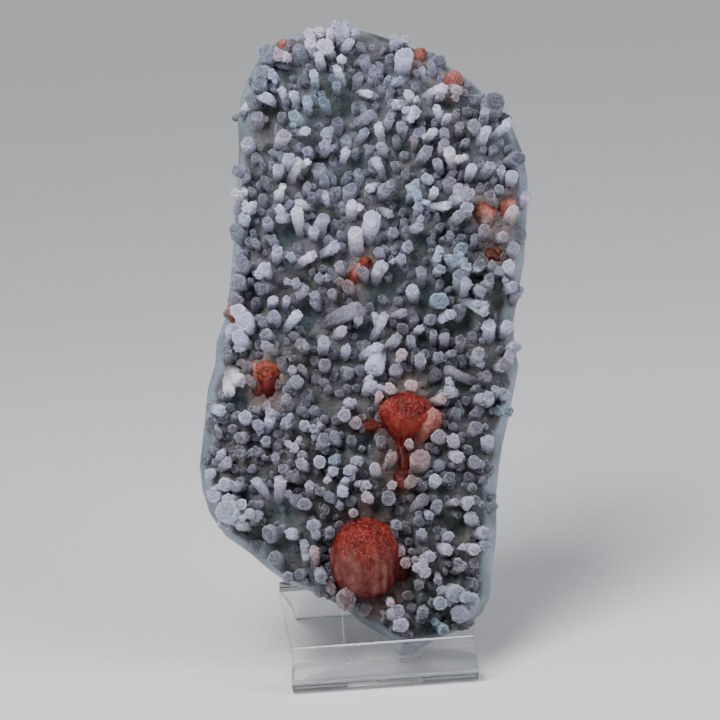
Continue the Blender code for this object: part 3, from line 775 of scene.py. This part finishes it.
seenTable = {
    "ringed": (
        (335, 83, 10, 0.6, "sea"), (310, 148, 10, 0.5), (461, 126, 10, 0.5), (499, 186, 10, 0.6, "sea"),
        (275, 254, 12, 0.75), (290, 254, 10.5, 0.8, "sea"), (392, 229, 12, 0.5), (322, 278, 11, 0.55),
        (316, 304, 10, 0.5), (408, 244, 12.5, 0.6), (459, 248, 14, 0.6, "sea"), (438, 266, 12, 0.7),
        (454, 263, 14, 0.75), (484, 232, 13, 0.6), (502, 234, 12, 0.65), (514, 247, 15, 0.75),
        (510, 285, 12, 0.8), (440, 298, 20, 0.7, "sea"), (439, 356, 11, 0.6), (243, 420, 15, 0.9),
        (303, 425, 12, 0.8), (317, 432, 11, 0.75), (352, 420, 14, 0.6), (303, 466, 13, 0.8),
        (317, 460, 13, 0.85), (285, 469, 12, 0.5), (301, 502, 16, 0.6), (312, 523, 15, 0.8),
        (351, 512, 10, 0.7), (393, 389, 13, 1.0), (489, 398, 15, 0.9), (455, 443, 15, 1.0),
        (395, 524, 12, 0.6), (313, 536, 10, 0.8), (347, 594, 13, 0.55, "rose"), (394, 615, 16, 0.8),
        (440, 606, 15, 0.85), (442, 627, 12, 0.6, "sea"), (341, 280, 10, 0.5, "rose"),
        (351, 284, 13, 0.45, "rose"), (364, 273, 12, 0.45), (333, 291, 9.5, 0.5), (257, 242, 9, 0.45),
        (463, 139, 9, 0.4), (398, 163, 10, 0.4), (405, 175, 10, 0.4), (325, 363, 13, 0.5), (500, 366, 11, 0.55),
        (258, 452, 11, 0.4), (457, 560, 8, 0.6),
    ),
    "facing": (
        (340, 71, 10, 0.95), (270, 74, 11, 0.75), (314, 75, 10, 0.85), (266, 97, 12, 0.85),
        (310, 102, 12, 0.7), (324, 102, 12, 0.5, "sea"), (298, 116, 14, 0.7, "sea"),
        (283, 139, 17, 0.75, "cream"), (323, 130, 13, 0.65), (328, 145, 12, 0.65), (286, 157, 15, 0.75),
        (275, 167, 12, 0.7), (245, 143, 16, 0.75), (395, 41, 10, 0.75), (405, 39, 11, 0.75),
        (411, 94, 12, 0.95), (411, 111, 14, 0.85), (432, 134, 11, 1.0), (447, 132, 11, 0.6),
        (474, 123, 14, 0.55), (454, 155, 13, 1.0), (468, 167, 13, 0.9), (484, 111, 10, 0.7),
        (514, 173, 14, 0.85), (505, 171, 10, 0.7), (437, 189, 10.5, 1.0), (415, 190, 12, 0.9, "sea"),
        (424, 153, 14, 0.5), (440, 160, 12, 0.6), (443, 148, 13, 0.5), (400, 125, 11, 0.55),
        (390, 122, 11, 0.5), (384, 145, 12, 0.7), (283, 205, 10.5, 0.9), (238, 195, 12, 0.95),
        (245, 208, 12, 0.9), (242, 218, 13, 0.85), (322, 197, 9, 0.8), (310, 228, 12, 0.7),
        (240, 264, 20, 0.45), (262, 266, 14, 0.85), (339, 266, 10, 0.6), (295, 281, 11, 0.6),
        (316, 294, 12, 0.55), (283, 299, 8, 0.75), (274, 314, 14, 0.6), (326, 344, 13, 0.8),
        (360, 315, 10, 0.7), (240, 309, 18, 0.95), (243, 323, 22, 0.95), (229, 333, 14, 0.9),
        (241, 338, 18, 0.9), (299, 345, 14, 0.5), (264, 333, 14, 0.5), (413, 186, 11, 0.9, "sea"),
        (420, 196, 11, 0.9, "sea"), (460, 196, 20, 0.7), (467, 192, 12, 0.8), (466, 205, 14, 0.75),
        (458, 213, 14, 0.55), (510, 210, 12.5, 1.0), (527, 195, 12, 0.9), (399, 254, 11, 0.7),
        (438, 248, 10, 0.95, "sea"), (440, 254, 10, 0.9), (448, 254, 8, 0.9), (461, 252, 8, 0.9),
        (469, 265, 12, 0.8), (506, 266, 14, 1.0), (515, 291, 13, 0.6), (461, 279, 18, 0.6),
        (467, 285, 12, 0.9), (413, 287, 15, 0.9), (424, 274, 12, 0.55), (429, 318, 12, 0.5, "sea"),
        (411, 340, 10, 0.6), (452, 350, 10, 0.5), (515, 345, 16, 0.8), (481, 356, 13, 0.7),
        (508, 358, 13, 0.8), (423, 358, 13, 0.7), (255, 428, 14, 0.7), (264, 443, 12, 0.6),
        (321, 443, 15, 0.45), (332, 437, 12, 0.55), (349, 404, 11.5, 1.0), (340, 413, 14, 0.7),
        (292, 445, 11, 0.9), (275, 459, 9, 0.6), (303, 454, 9, 0.7), (331, 458, 12, 0.7, "sea"),
        (348, 470, 12, 0.85), (359, 458, 11, 0.85), (371, 470, 12, 0.9), (363, 482, 12, 0.8),
        (218, 452, 9, 0.8), (207, 474, 12, 0.9), (221, 482, 15, 0.9), (216, 492, 16, 0.95),
        (235, 485, 12, 0.65), (293, 500, 12, 0.5), (331, 500, 12, 0.5), (230, 514, 27, 0.95),
        (373, 387, 14, 1.0), (377, 399, 9, 0.85, "rose"), (498, 388, 12, 0.85), (508, 393, 13, 0.9),
        (505, 409, 14, 0.6, "sea"), (411, 445, 10, 0.8, "rose"), (414, 481, 12, 0.6, "rose"),
        (369, 500, 12, 0.95), (394, 483, 10, 0.8), (388, 498, 16, 0.5), (465, 502, 13, 1.0),
        (454, 499, 10, 0.7), (476, 499, 12, 0.5), (438, 509, 13, 0.6), (431, 514, 10, 0.7),
        (484, 531, 15, 0.8), (287, 576, 13, 0.6), (318, 575, 14, 0.6), (329, 590, 11, 0.45, "rose"),
        (345, 601, 24, 0.4, "rose"), (395, 602, 9, 0.8), (400, 627, 18, 0.95),
        (402, 549, 10, 0.5, "rose"), (405, 565, 12, 0.6, "rose"), (445, 552, 13, 1.0),
        (428, 554, 12, 0.85), (424, 569, 15, 1.0), (487, 544, 14, 0.75, "sea"), (471, 549, 13, 1.0),
        (404, 551, 11, 0.5, "rose"), (460, 568, 10, 0.6), (425, 612, 13, 0.45),
        (414, 138, 9, 0.55, "rose"), (378, 252, 12, 0.55), (492, 198, 12, 0.45), (303, 368, 9, 0.5),
        (261, 320, 11, 0.4), (265, 222, 12, 0.5), (434, 336, 9, 0.45), (488, 281, 11, 0.4), (482, 263, 14, 0.38),
        (463, 341, 12, 0.35), (486, 377, 11, 0.45), (242, 451, 12, 0.4), (294, 478, 11, 0.4), (322, 492, 11, 0.42),
        (328, 531, 12, 0.38), (243, 436, 13, 0.45), (419, 583, 10, 0.38), (437, 579, 8, 0.6), (416, 560, 10, 0.35),
        (385, 189, 16, 0.42), (493, 106, 26, 0.4, "rimBlue"), (514, 157, 20, 0.4, "rimBlue"),
        (270, 55, 24, 0.72, "rimBlue"), (257, 83, 20, 0.62, "rimBlue"),
    ),
    "leaning": (
        (321, 39, 325, 52, 22, 0.95), (343, 25, 347, 44, 18, 0.75), (340, 53, 340, 59, 10.5, 0.95),
        (288, 50, 272, 58, 16, 0.8), (282, 85, 288, 107, 10, 0.9), (296, 87, 297, 109, 11, 0.9),
        (255, 99, 237, 115, 12, 1.0), (259, 108, 259, 130, 14, 0.5), (308, 129, 294, 132, 11, 0.85),
        (352, 148, 341, 165, 11, 0.85), (302, 155, 289, 185, 12, 0.95), (375, 98, 358, 92, 10, 0.95),
        (377, 107, 351, 129, 14, 0.4), (378, 121, 384, 145, 11, 0.95), (377, 155, 385, 180, 11, 0.95),
        (404, 48, 402, 76, 22, 0.75), (406, 80, 381, 87, 13, 0.6, "sea"), (447, 82, 422, 98, 12, 0.9),
        (447, 92, 432, 101, 9, 0.45), (390, 107, 411, 105, 11, 0.8), (431, 107, 444, 126, 10, 1.0),
        (448, 115, 442, 126, 8, 0.9), (466, 97, 452, 88, 14, 0.7), (488, 126, 480, 145, 15, 0.95),
        (512, 121, 490, 140, 12, 0.9), (497, 158, 481, 182, 13, 0.6),
        (421, 171, 430, 183, 12, 0.8, "sea"), (361, 194, 380, 185, 12, 0.9),
        (276, 185, 280, 203, 11, 0.95), (298, 196, 311, 211, 11, 0.95), (291, 205, 302, 237, 13, 1.0),
        (275, 219, 293, 218, 12, 0.8), (314, 252, 294, 268, 12, 0.95), (353, 197, 351, 220, 14, 1.0),
        (353, 224, 357, 255, 18, 1.0), (375, 210, 368, 242, 22, 0.9), (393, 213, 379, 209, 10, 0.5),
        (338, 246, 321, 255, 13, 0.75), (381, 260, 375, 281, 15, 0.9), (312, 287, 287, 305, 12, 0.5),
        (273, 291, 271, 309, 12, 0.9), (300, 309, 283, 334, 12, 0.95), (385, 312, 372, 341, 11.5, 0.85),
        (344, 327, 335, 338, 12, 0.8), (345, 341, 345, 358, 11, 0.8), (362, 300, 321, 326, 18, 0.4),
        (398, 333, 390, 349, 11, 0.6), (384, 344, 362, 358, 16, 0.95), (451, 204, 425, 208, 12, 0.95),
        (420, 203, 418, 218, 12, 0.6), (424, 224, 411, 231, 12, 0.6), (489, 290, 473, 287, 13, 0.6),
        (490, 313, 461, 298, 13, 0.85), (454, 316, 441, 318, 13, 0.85), (408, 311, 391, 317, 10, 0.6),
        (425, 326, 415, 333, 9, 0.85), (400, 333, 385, 350, 12, 0.65), (445, 329, 444, 348, 12, 0.65),
        (491, 320, 489, 342, 14, 1.0), (509, 321, 501, 337, 14, 0.9),
        (408, 350, 401, 359, 12, 0.85, "rose"), (227, 398, 229, 368, 14, 0.95, "cream"),
        (241, 389, 231, 366, 16, 0.95, "cream"), (228, 415, 212, 408, 13, 0.95),
        (276, 412, 264, 435, 13, 1.0), (288, 414, 282, 431, 11, 0.7), (336, 479, 327, 469, 12, 0.85),
        (347, 495, 342, 482, 13, 0.9), (236, 460, 219, 470, 12, 0.75), (257, 473, 270, 500, 12, 0.95),
        (277, 474, 280, 501, 14, 1.0), (311, 483, 311, 498, 11, 0.75), (265, 515, 241, 527, 12, 0.7),
        (284, 529, 300, 536, 12, 1.0), (374, 377, 380, 350, 20, 0.9),
        (411, 376, 410, 391, 14, 0.9, "rose"), (451, 398, 431, 403, 12, 0.85, "rose"),
        (447, 383, 456, 394, 13, 0.9), (443, 370, 477, 383, 12, 0.55), (472, 394, 484, 397, 12, 0.85),
        (488, 430, 487, 450, 15, 0.9), (457, 467, 451, 451, 14, 0.9), (443, 477, 433, 486, 14, 1.0),
        (421, 446, 419, 470, 24, 0.6, "rose"), (397, 451, 386, 470, 12, 0.6, "rose"),
        (426, 492, 411, 513, 13, 0.45), (467, 513, 476, 525, 14, 0.85), (446, 527, 444, 543, 12, 0.8),
        (423, 525, 423, 541, 12, 0.7), (309, 540, 306, 565, 12, 0.9),
        (319, 543, 315, 570, 12, 0.8, "rose"), (440, 583, 445, 600, 13, 0.8),
        (469, 586, 464, 620, 28, 0.85),
    ),
    "mounds": (
        (238, 232, 18, 0.55, "rimBlue"), (236, 282, 20, 0.55, "rimBlue"), (233, 298, 15, 0.6, "rimBlue"),
        (240, 172, 16, 0.55, "rimBlue"), (225, 352, 16, 0.55, "rimBlue"), (456, 596, 22, 0.75), (474, 604, 20, 0.8),
        (462, 612, 22, 0.75), (312, 33, 13, 0.95), (322, 29, 14, 0.95), (331, 34, 12, 0.95), (314, 44, 14, 0.9),
        (329, 46, 14, 0.95), (322, 55, 12, 0.9), (337, 22, 10, 0.78), (346, 24, 10, 0.8), (354, 32, 10, 0.75),
        (350, 41, 12, 0.75), (340, 33, 12, 0.8), (263, 70, 22, 0.6, "rimBlue"), (254, 98, 16, 0.55, "rimBlue"),
        (293, 381, 14, 0.62), (268, 348, 12, 0.6), (290, 369, 10, 0.7), (248, 380, 9, 0.45), (267, 407, 9, 0.55),
        (258, 408, 9, 0.45), (283, 398, 12, 0.5), (272, 414, 10, 0.75), (474, 238, 8, 0.45), (489, 262, 11, 0.45),
        (238, 504, 14, 0.97), (228, 502, 12, 0.97), (245, 511, 12, 0.92), (220, 509, 11, 0.92),
        (224, 526, 14, 0.85), (238, 524, 13, 0.9),
    ),
}


def planFingers():
    # Every finger: root, direction, length, radius, tone, tint, clearness, seed, kind.
    plan, lines = [], []

    def isFree(root, tip, radius, share):
        flat = tip.to_2d()
        return all(segmentDistance(flat, *line[:2]) > (radius + line[2]) * share for line in lines)

    def keep(root, tip, radius, *looks, kind):
        direction = (tip - root).normalized()
        length = (tip - root).length + radius * 0.6
        plan.append((root, direction, length, radius, *looks, len(plan) + 1, kind))
        lines.append((root.to_2d(), tip.to_2d(), radius))

    for root, tip, radius, tone, named, clearness in seenFingers():
        keep(root, tip, radius, tone, named, clearness, kind="fingers")
    for seed, spot, azimuth, lean, length, radius, main in latticeFingers():
        chance = random.Random(seed + 0.5)
        if not main:
            radius *= 0.74
            length *= 0.78
        direction = withinRim(spot, azimuth, lean, length, radius)
        root = Vector((*spot, frontHeight(*spot)))
        tip = root + direction * length
        hollow = hollowness(*spot)
        if min(crystalDistance(*spot), crystalDistance(tip.x, tip.y)) < radius * 0.2 or hollow > 0.6:
            continue
        while length > 3 and not isFree(root, root + direction * (length - radius * 0.6), radius, 0.85):
            length *= 0.75
        if length > 3:
            # painted shade: darker in the hollows
            tone = (chance.uniform(0.28, 0.68) if main else chance.uniform(0.22, 0.52)) * (1 - 0.5 * hollow)
            clearness = chance.uniform(0.2, 1.0)
            tip = root + direction * (length - radius * 0.6)
            keep(root, tip, radius, tone, "frost", clearness, kind="lows")
    tall = len(plan)
    roots = [(root.to_2d(), (root + direction * 2).to_2d(), radius) for root, direction, _, radius, *_ in plan]
    for seed, spot, direction, length, radius in lowFingers():
        chance = random.Random(seed + 0.7)
        flat = Vector(spot)
        hollow = hollowness(*spot)
        if crystalDistance(*spot) < radius * 0.1 or hollow > 0.55:
            continue
        if all(segmentDistance(flat, *line[:2]) > (radius + line[2]) * 0.5 for line in roots):
            root = Vector((*spot, frontHeight(*spot)))
            # painted shade: darker in the hollows
            tone = chance.uniform(0.22, 0.48) * (1 - 0.6 * hollow)
            plan.append((root, direction, length, radius, tone, "frost", chance.uniform(0.3, 1.0), seed, "lows"))
    for spot, direction, radius, chance in rimMounds():
        if all(segmentDistance(Vector(spot), *line[:2]) > (radius + line[2]) * 0.6 for line in roots):
            root = Vector((*spot, frontHeight(*spot)))
            tone = chance.uniform(0.35, 0.62)
            plan.append((root, direction, chance.uniform(2.6, 4.0), radius, tone, "rimBlue", 0.2, len(plan), "lows"))
    print("fingers:", tall, "tall and", len(plan) - tall, "low")
    return plan


def staysClear(root, direction, length, radius):
    # Shortens a finger that would reach the easel's ledge or lip, or past the slab's own size.
    low, high = (Vector(corner) for corner in cadBox)
    while length > 2.5:
        spot = plateFrame @ (root + direction * (length - radius * 0.6))
        reach = (radius * 1.15 + 0.3) * mm
        overLip = spot.z > 16.3 * mm + reach
        inside = low.x + reach < spot.x < high.x - reach and spot.z < high.z - reach
        if inside and spot.z > 3 * mm + reach and (overLip or spot.y > -13 * mm + reach):
            break
        length -= 0.5
    return length


def startBands(name, count):
    meshes = [bmesh.new() for _ in range(count)]
    return [(bm, (*colorLayers(bm), bm.loops.layers.uv.new("growth")), f"{name}_{index + 1}")
            for index, bm in enumerate(meshes)]


def sugarTexture(name, grain):
    texture = bpy.data.textures.new(name, "VORONOI")
    texture.noise_scale = grain * mm
    return texture


def buildFingers(material):
    # The fingers that stand out are cut finer than the lower ones between them.
    groups = {kind: startBands("chalcedony_" + kind, crust["bands"]) for kind, crust in crusts.items()}
    for root, direction, length, radius, tone, named, clearness, seed, kind in planFingers():
        length = staysClear(root, direction, length, radius)
        if length <= 2.5:
            continue
        chance = random.Random(seed * 1.37)
        form = "tall" if length > 6.2 else "short"
        bands = groups[kind]
        bm, layers, _ = bands[min(len(bands) - 1, int(max(0.0, root.y) / 217.5 * len(bands)))]
        shade = 0.11 + 1.02 * tone ** 1.8
        color = blend(stoneTint(root.x, root.y, "frost"), stone[named], 0.6 if named != "frost" else 0.0)
        color = tuple(min(0.92, channel * shade) for channel in color)
        foot = groundTint(root.x, root.y)
        buried = direction * finger["root"]
        whole = length + finger["root"]
        growFinger(bm, layers, root - buried, direction, whole, radius, (foot, color), clearness, seed, form)
        if radius < 1.8 or form == "short" or chance.random() > 0.42:
            continue
        for bud in range(chance.choice((1, 1, 2))):
            tilt = Matrix.Rotation(chance.uniform(0, 6.28), 3, direction)
            side = tilt @ direction.orthogonal().normalized()
            budWay = (direction + side * chance.uniform(0.35, 0.9)).normalized()
            start = root + direction * length * chance.uniform(0.3, 0.6)
            reach = length * chance.uniform(0.3, 0.5) + radius * 0.5
            tip = start + budWay * reach
            size = radius * chance.uniform(0.62, 0.8)
            clear = crystalDistance(tip.x, tip.y) > size and edgeDistance(tip.x, tip.y) > radius * 0.8
            if clear and staysClear(start, budWay, reach, size) == reach:
                tints = (blend(foot, color, 0.6), color)
                growFinger(bm, layers, start, budWay, reach, size, tints, clearness, seed + 0.3 + bud, "short")
    pieces = []
    for kind, bands in groups.items():
        texture = sugarTexture(kind + "Sugar", crusts[kind]["grain"])
        for bm, _, name in bands:
            piece = addPiece(name, bm, material)
            rounder = piece.modifiers.new("rounder", "SUBSURF")
            rounder.levels = rounder.render_levels = crusts[kind]["levels"]
            sugar = piece.modifiers.new("sugar", "DISPLACE")
            sugar.texture = texture
            sugar.strength = -crusts[kind]["height"] * mm
            sugar.mid_level = 0.45
            pieces.append(piece)
    return pieces


def growCrystal(bm, layers, body, seed):
    # A group of blades on one axis: ribbed sides, and an end of small grains with a few cracks.
    foot, head, (width, depth), (stem, start, full), grainsFrom, endTint, sideTint = body
    tintLayer, growthLayer = layers
    axis = Vector(head) - Vector(foot)
    turn = Vector((0, 0, 1)).rotation_difference(axis.normalized()).to_matrix()
    around = max(28, round(math.pi * width / heulandite["cut"]))
    along = max(20, round((axis.length + width) / heulandite["cut"] * 0.8))
    made = bmesh.ops.create_uvsphere(bm, u_segments=around, v_segments=along, radius=1.0)
    shift = Vector((seed * 7.3, seed * 3.1, 0))
    small = min(1.0, 0.35 + width / 25)
    rounded = min(1.0, width / 18)
    pushes, growth = {}, {}
    for vert in made["verts"]:
        part = 0.5 + vert.co.z / 2
        angle = math.atan2(vert.co.y, vert.co.x)
        ray = Vector((math.cos(angle), math.sin(angle), 0))
        blunt = heulandite["footBlunt"] + (heulandite["headBlunt"] - heulandite["footBlunt"]) * part * rounded
        wide = math.hypot(vert.co.x, vert.co.y) ** blunt * (stem + (1 - stem) * smooth(start, full, part))
        wide *= 1 + heulandite["lobes"] * noise.noise(ray * 1.3 + Vector((0, 0, part * 1.4)) + shift)
        streak = noise.noise(ray * width / 2 / heulandite["ribWidth"] + Vector((0, 0, part * 2.2)) + shift)
        spot = Vector((ray.x * wide * width / 2, ray.y * wide * depth / 2, part * axis.length))
        end = smooth(grainsFrom - 0.08, grainsFrom + 0.10, part + 0.12 * noise.noise(spot / 3.5 + shift))
        spot += ray * (1 - end) * heulandite["ribs"] * streak * width / 2
        grain = 0.5 - noise.voronoi(spot / heulandite["grain"] + shift)[0][0]
        clump = noise.noise(spot / heulandite["clump"] + shift)
        near = noise.voronoi(spot / heulandite["crack"] + shift)[0]
        crack = (1 - smooth(0.0, 0.13, near[1] - near[0])) * smooth(-0.1, 0.25, noise.noise(spot / 8 + shift))
        shade = noise.noise(spot / 6.5 - shift)
        own, top, darkAndCreaseShade = reds[endTint]
        # painted highlight on the grain tops, then painted shade in the cracks, and dark patches at random
        endColor = blend(own, top, 0.75 * smooth(0.0, 0.42, grain))
        endColor = blend(endColor, top, 0.55 * smooth(0.05, 0.40, -shade))
        endColor = blend(endColor, darkAndCreaseShade, max(crack, 0.8 * smooth(0.08, 0.38, shade)))
        own, top, darkAndCreaseShade = reds[sideTint]
        sideColor = blend(own, top, smooth(0.0, 0.45, streak + 0.5 * clump))
        sideColor = blend(sideColor, darkAndCreaseShade, smooth(0.0, 0.4, shade - 0.6 * streak) + (1 - smooth(0.0, 0.2, part)))
        pushes[vert] = end * (heulandite["grainHeight"] * grain + heulandite["clumpHeight"] * clump
                              - heulandite["crackDepth"] * crack) * small
        pushes[vert] += (1 - end) * 0.3 * noise.noise(spot / 2 + shift)
        vert.co = Vector(foot) + turn @ spot
        vert[tintLayer] = (*blend(sideColor, endColor, end), 1)
        growth[vert] = (part, end)
    bm.normal_update()
    for vert, push in pushes.items():
        vert.co += vert.normal * push
    for face in {face for vert in made["verts"] for face in vert.link_faces}:
        for loop in face.loops:
            loop[growthLayer].uv = growth[loop.vert]


def buildCrystal(name, bodies, material):
    bm = bmesh.new()
    layers = (bm.verts.layers.float_color.new("tint"), bm.loops.layers.uv.new("growth"))
    for index, body in enumerate(bodies):
        growCrystal(bm, layers, body, index * 11 + len(name))
    return addPiece(name + "_crystal", bm, material)


easel = {
    "sheet": 3.0,
    "lipHeight": 16.3,
    "lipFront": -16.0,
    "armFoot": 12.6,
    "armTop": 28.5,
    "rearFoot": 74.0,
    "bend": 4.0,
    "bendSteps": 9,
    "lipHalf": 30.0,
    "footHalf": 31.0,
    "armHalf": 34.0,
    "windowHalf": 13.0,
    "windowCorner": 2.0,
    "strip": 13.0,
    "edgeRound": 0.35,
    "clearance": 0.03,
}


def easelPath():
    middle = easel["sheet"] / 2
    top = easel["armFoot"] + (easel["armTop"] - middle) * math.tan(slab["lean"])
    slope = math.atan2(easel["armTop"] - middle, easel["rearFoot"] - top)
    corners = [
        (easel["lipFront"] + middle, easel["lipHeight"], easel["lipHalf"]),
        (easel["lipFront"] + middle, middle, easel["footHalf"]),
        (easel["armFoot"], middle, easel["footHalf"]),
        (top, easel["armTop"], easel["armHalf"]),
        (easel["rearFoot"], middle * math.cos(slope), easel["footHalf"]),
    ]
    path = [corners[0]]
    for before, corner, after in zip(corners, corners[1:], corners[2:]):
        here = Vector(corner[:2])
        inward = (Vector(before[:2]) - here).normalized()
        outward = (Vector(after[:2]) - here).normalized()
        half = inward.angle(outward) / 2
        centre = here + (inward + outward).normalized() * easel["bend"] / math.sin(half)
        start = here + inward * easel["bend"] / math.tan(half) - centre
        end = here + outward * easel["bend"] / math.tan(half) - centre
        sweep = start.angle_signed(end)
        for step in range(easel["bendSteps"] + 1):
            spot = centre + Matrix.Rotation(-sweep * step / easel["bendSteps"], 2) @ start
            path.append((spot.x, spot.y, corner[2]))
    path.append(corners[-1])
    end = Vector(path[-1][:2])
    downhill = Vector((math.cos(slope), -math.sin(slope)))
    strip = end - downhill * easel["strip"]
    path[-1:] = [
        (*(strip - downhill * easel["windowCorner"]), easel["footHalf"]),
        (*strip, easel["footHalf"]),
        (*end, easel["footHalf"]),
    ]
    windowStart = next(index for index, spot in enumerate(path) if spot[0] > 0)
    return path, windowStart, len(path) - 2


def buildEasel(material):
    # A grid, three faces wide and as long as the path, with the window's faces taken out.
    path, windowStart, windowEnd = easelPath()
    bm = bmesh.new()
    length = len(path) - 1
    bmesh.ops.create_grid(bm, x_segments=3, y_segments=length, size=0.5)
    window = []
    for face in bm.faces:
        row = (face.calc_center_median().y + 0.5) * length
        if abs(face.calc_center_median().x) < 0.1 and windowStart < row < windowEnd:
            window.append(face)
    for vert in bm.verts:
        index = round((vert.co.y + 0.5) * length)
        y, z, half = path[index]
        inner = easel["windowHalf"] - (easel["windowCorner"] if index in (windowStart, windowEnd) else 0)
        vert.co = (math.copysign(half if abs(vert.co.x) > 0.3 else inner, vert.co.x), y, z)
    bmesh.ops.delete(bm, geom=window, context="FACES")
    bmesh.ops.recalc_face_normals(bm, faces=bm.faces)
    place = Matrix.Translation((0, 0, easel["clearance"] * mm)) @ Matrix.Scale(mm, 4)
    piece = addPiece("clear_easel", bm, material, place)
    sheet = piece.modifiers.new("sheet", "SOLIDIFY")
    sheet.thickness = easel["sheet"] * mm
    sheet.offset = 0
    sheet.use_even_offset = True
    rounding = piece.modifiers.new("rounding", "BEVEL")
    rounding.width = easel["edgeRound"] * mm
    rounding.segments = 2
    rounding.limit_method = "ANGLE"
    rounding.angle_limit = math.radians(40)
    rounding.harden_normals = True
    return piece


studio = {
    "floorHalf": 12.0,
    "floor": (0.80, 0.80, 0.81),
    "world": (0.86, 0.89, 0.95),
    "worldStrength": 0.30,
    # place, size, power, colour
    "lights": (
        ((-0.30, -0.52, 0.68), 0.45, 8.2, (1.0, 0.985, 0.99)),
        ((0.75, -0.60, 0.70), 0.45, 6.6, (0.94, 0.95, 1.0)),
    ),
    "sun": {"from": (-0.35, -0.45, 1.0), "strength": 1.15, "angle": 24.0},
}


def addStage():
    bm = bmesh.new()
    bmesh.ops.create_grid(bm, x_segments=1, y_segments=1, size=studio["floorHalf"])
    floorCoat = Coat("paleFloor", Roughness=0.8)
    speck = floorCoat.grain(40, 3)
    floorCoat.feed("Base Color", floorCoat.mix(speck * 0.12, studio["floor"], (0.72, 0.72, 0.74)))
    floor = addPiece("floor", bm, floorCoat.material, Matrix.Identity(4))
    world = bpy.data.worlds.new("studio")
    world.use_nodes = True
    backdrop = world.node_tree.nodes["Background"]
    backdrop.inputs["Color"].default_value = (*studio["world"], 1)
    backdrop.inputs["Strength"].default_value = studio["worldStrength"]
    bpy.context.scene.world = world
    sky = bpy.data.lights.new("sky", "SUN")
    sky.energy = studio["sun"]["strength"]
    sky.angle = math.radians(studio["sun"]["angle"])
    skyLamp = bpy.data.objects.new("sky", sky)
    skyLamp.rotation_euler = (-Vector(studio["sun"]["from"])).to_track_quat("-Z", "Y").to_euler()
    bpy.context.scene.collection.objects.link(skyLamp)
    for index, (place, size, power, color) in enumerate(studio["lights"]):
        data = bpy.data.lights.new(f"softbox_{index + 1}", "AREA")
        data.size = size
        data.energy = power
        data.color = color
        lamp = bpy.data.objects.new(data.name, data)
        bpy.context.scene.collection.objects.link(lamp)
        aim = Vector((0, 0.03, 0.11)) - Vector(place)
        lamp.location = place
        lamp.rotation_euler = aim.to_track_quat("-Z", "Y").to_euler()


def main():
    addCamera()
    addStage()
    print("camera and stage")
    matrix = buildMatrix(slabCoat())
    print("matrix")
    fingers = buildFingers(fingerCoat())
    for piece in [matrix, *fingers]:
        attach(piece, "root")
        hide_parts("chalcedony_plate")
    red = crystalCoat()
    for name, bodies in crystals.items():
        piece = buildCrystal(name, bodies, red)
        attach(piece, "root")
        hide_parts(name)
    print("crystals")
    stand = buildEasel(acrylicCoat())
    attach(stand, "root")
    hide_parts("acrylic_stand")
    print("easel")
    bpy.context.view_layer.update()


main()
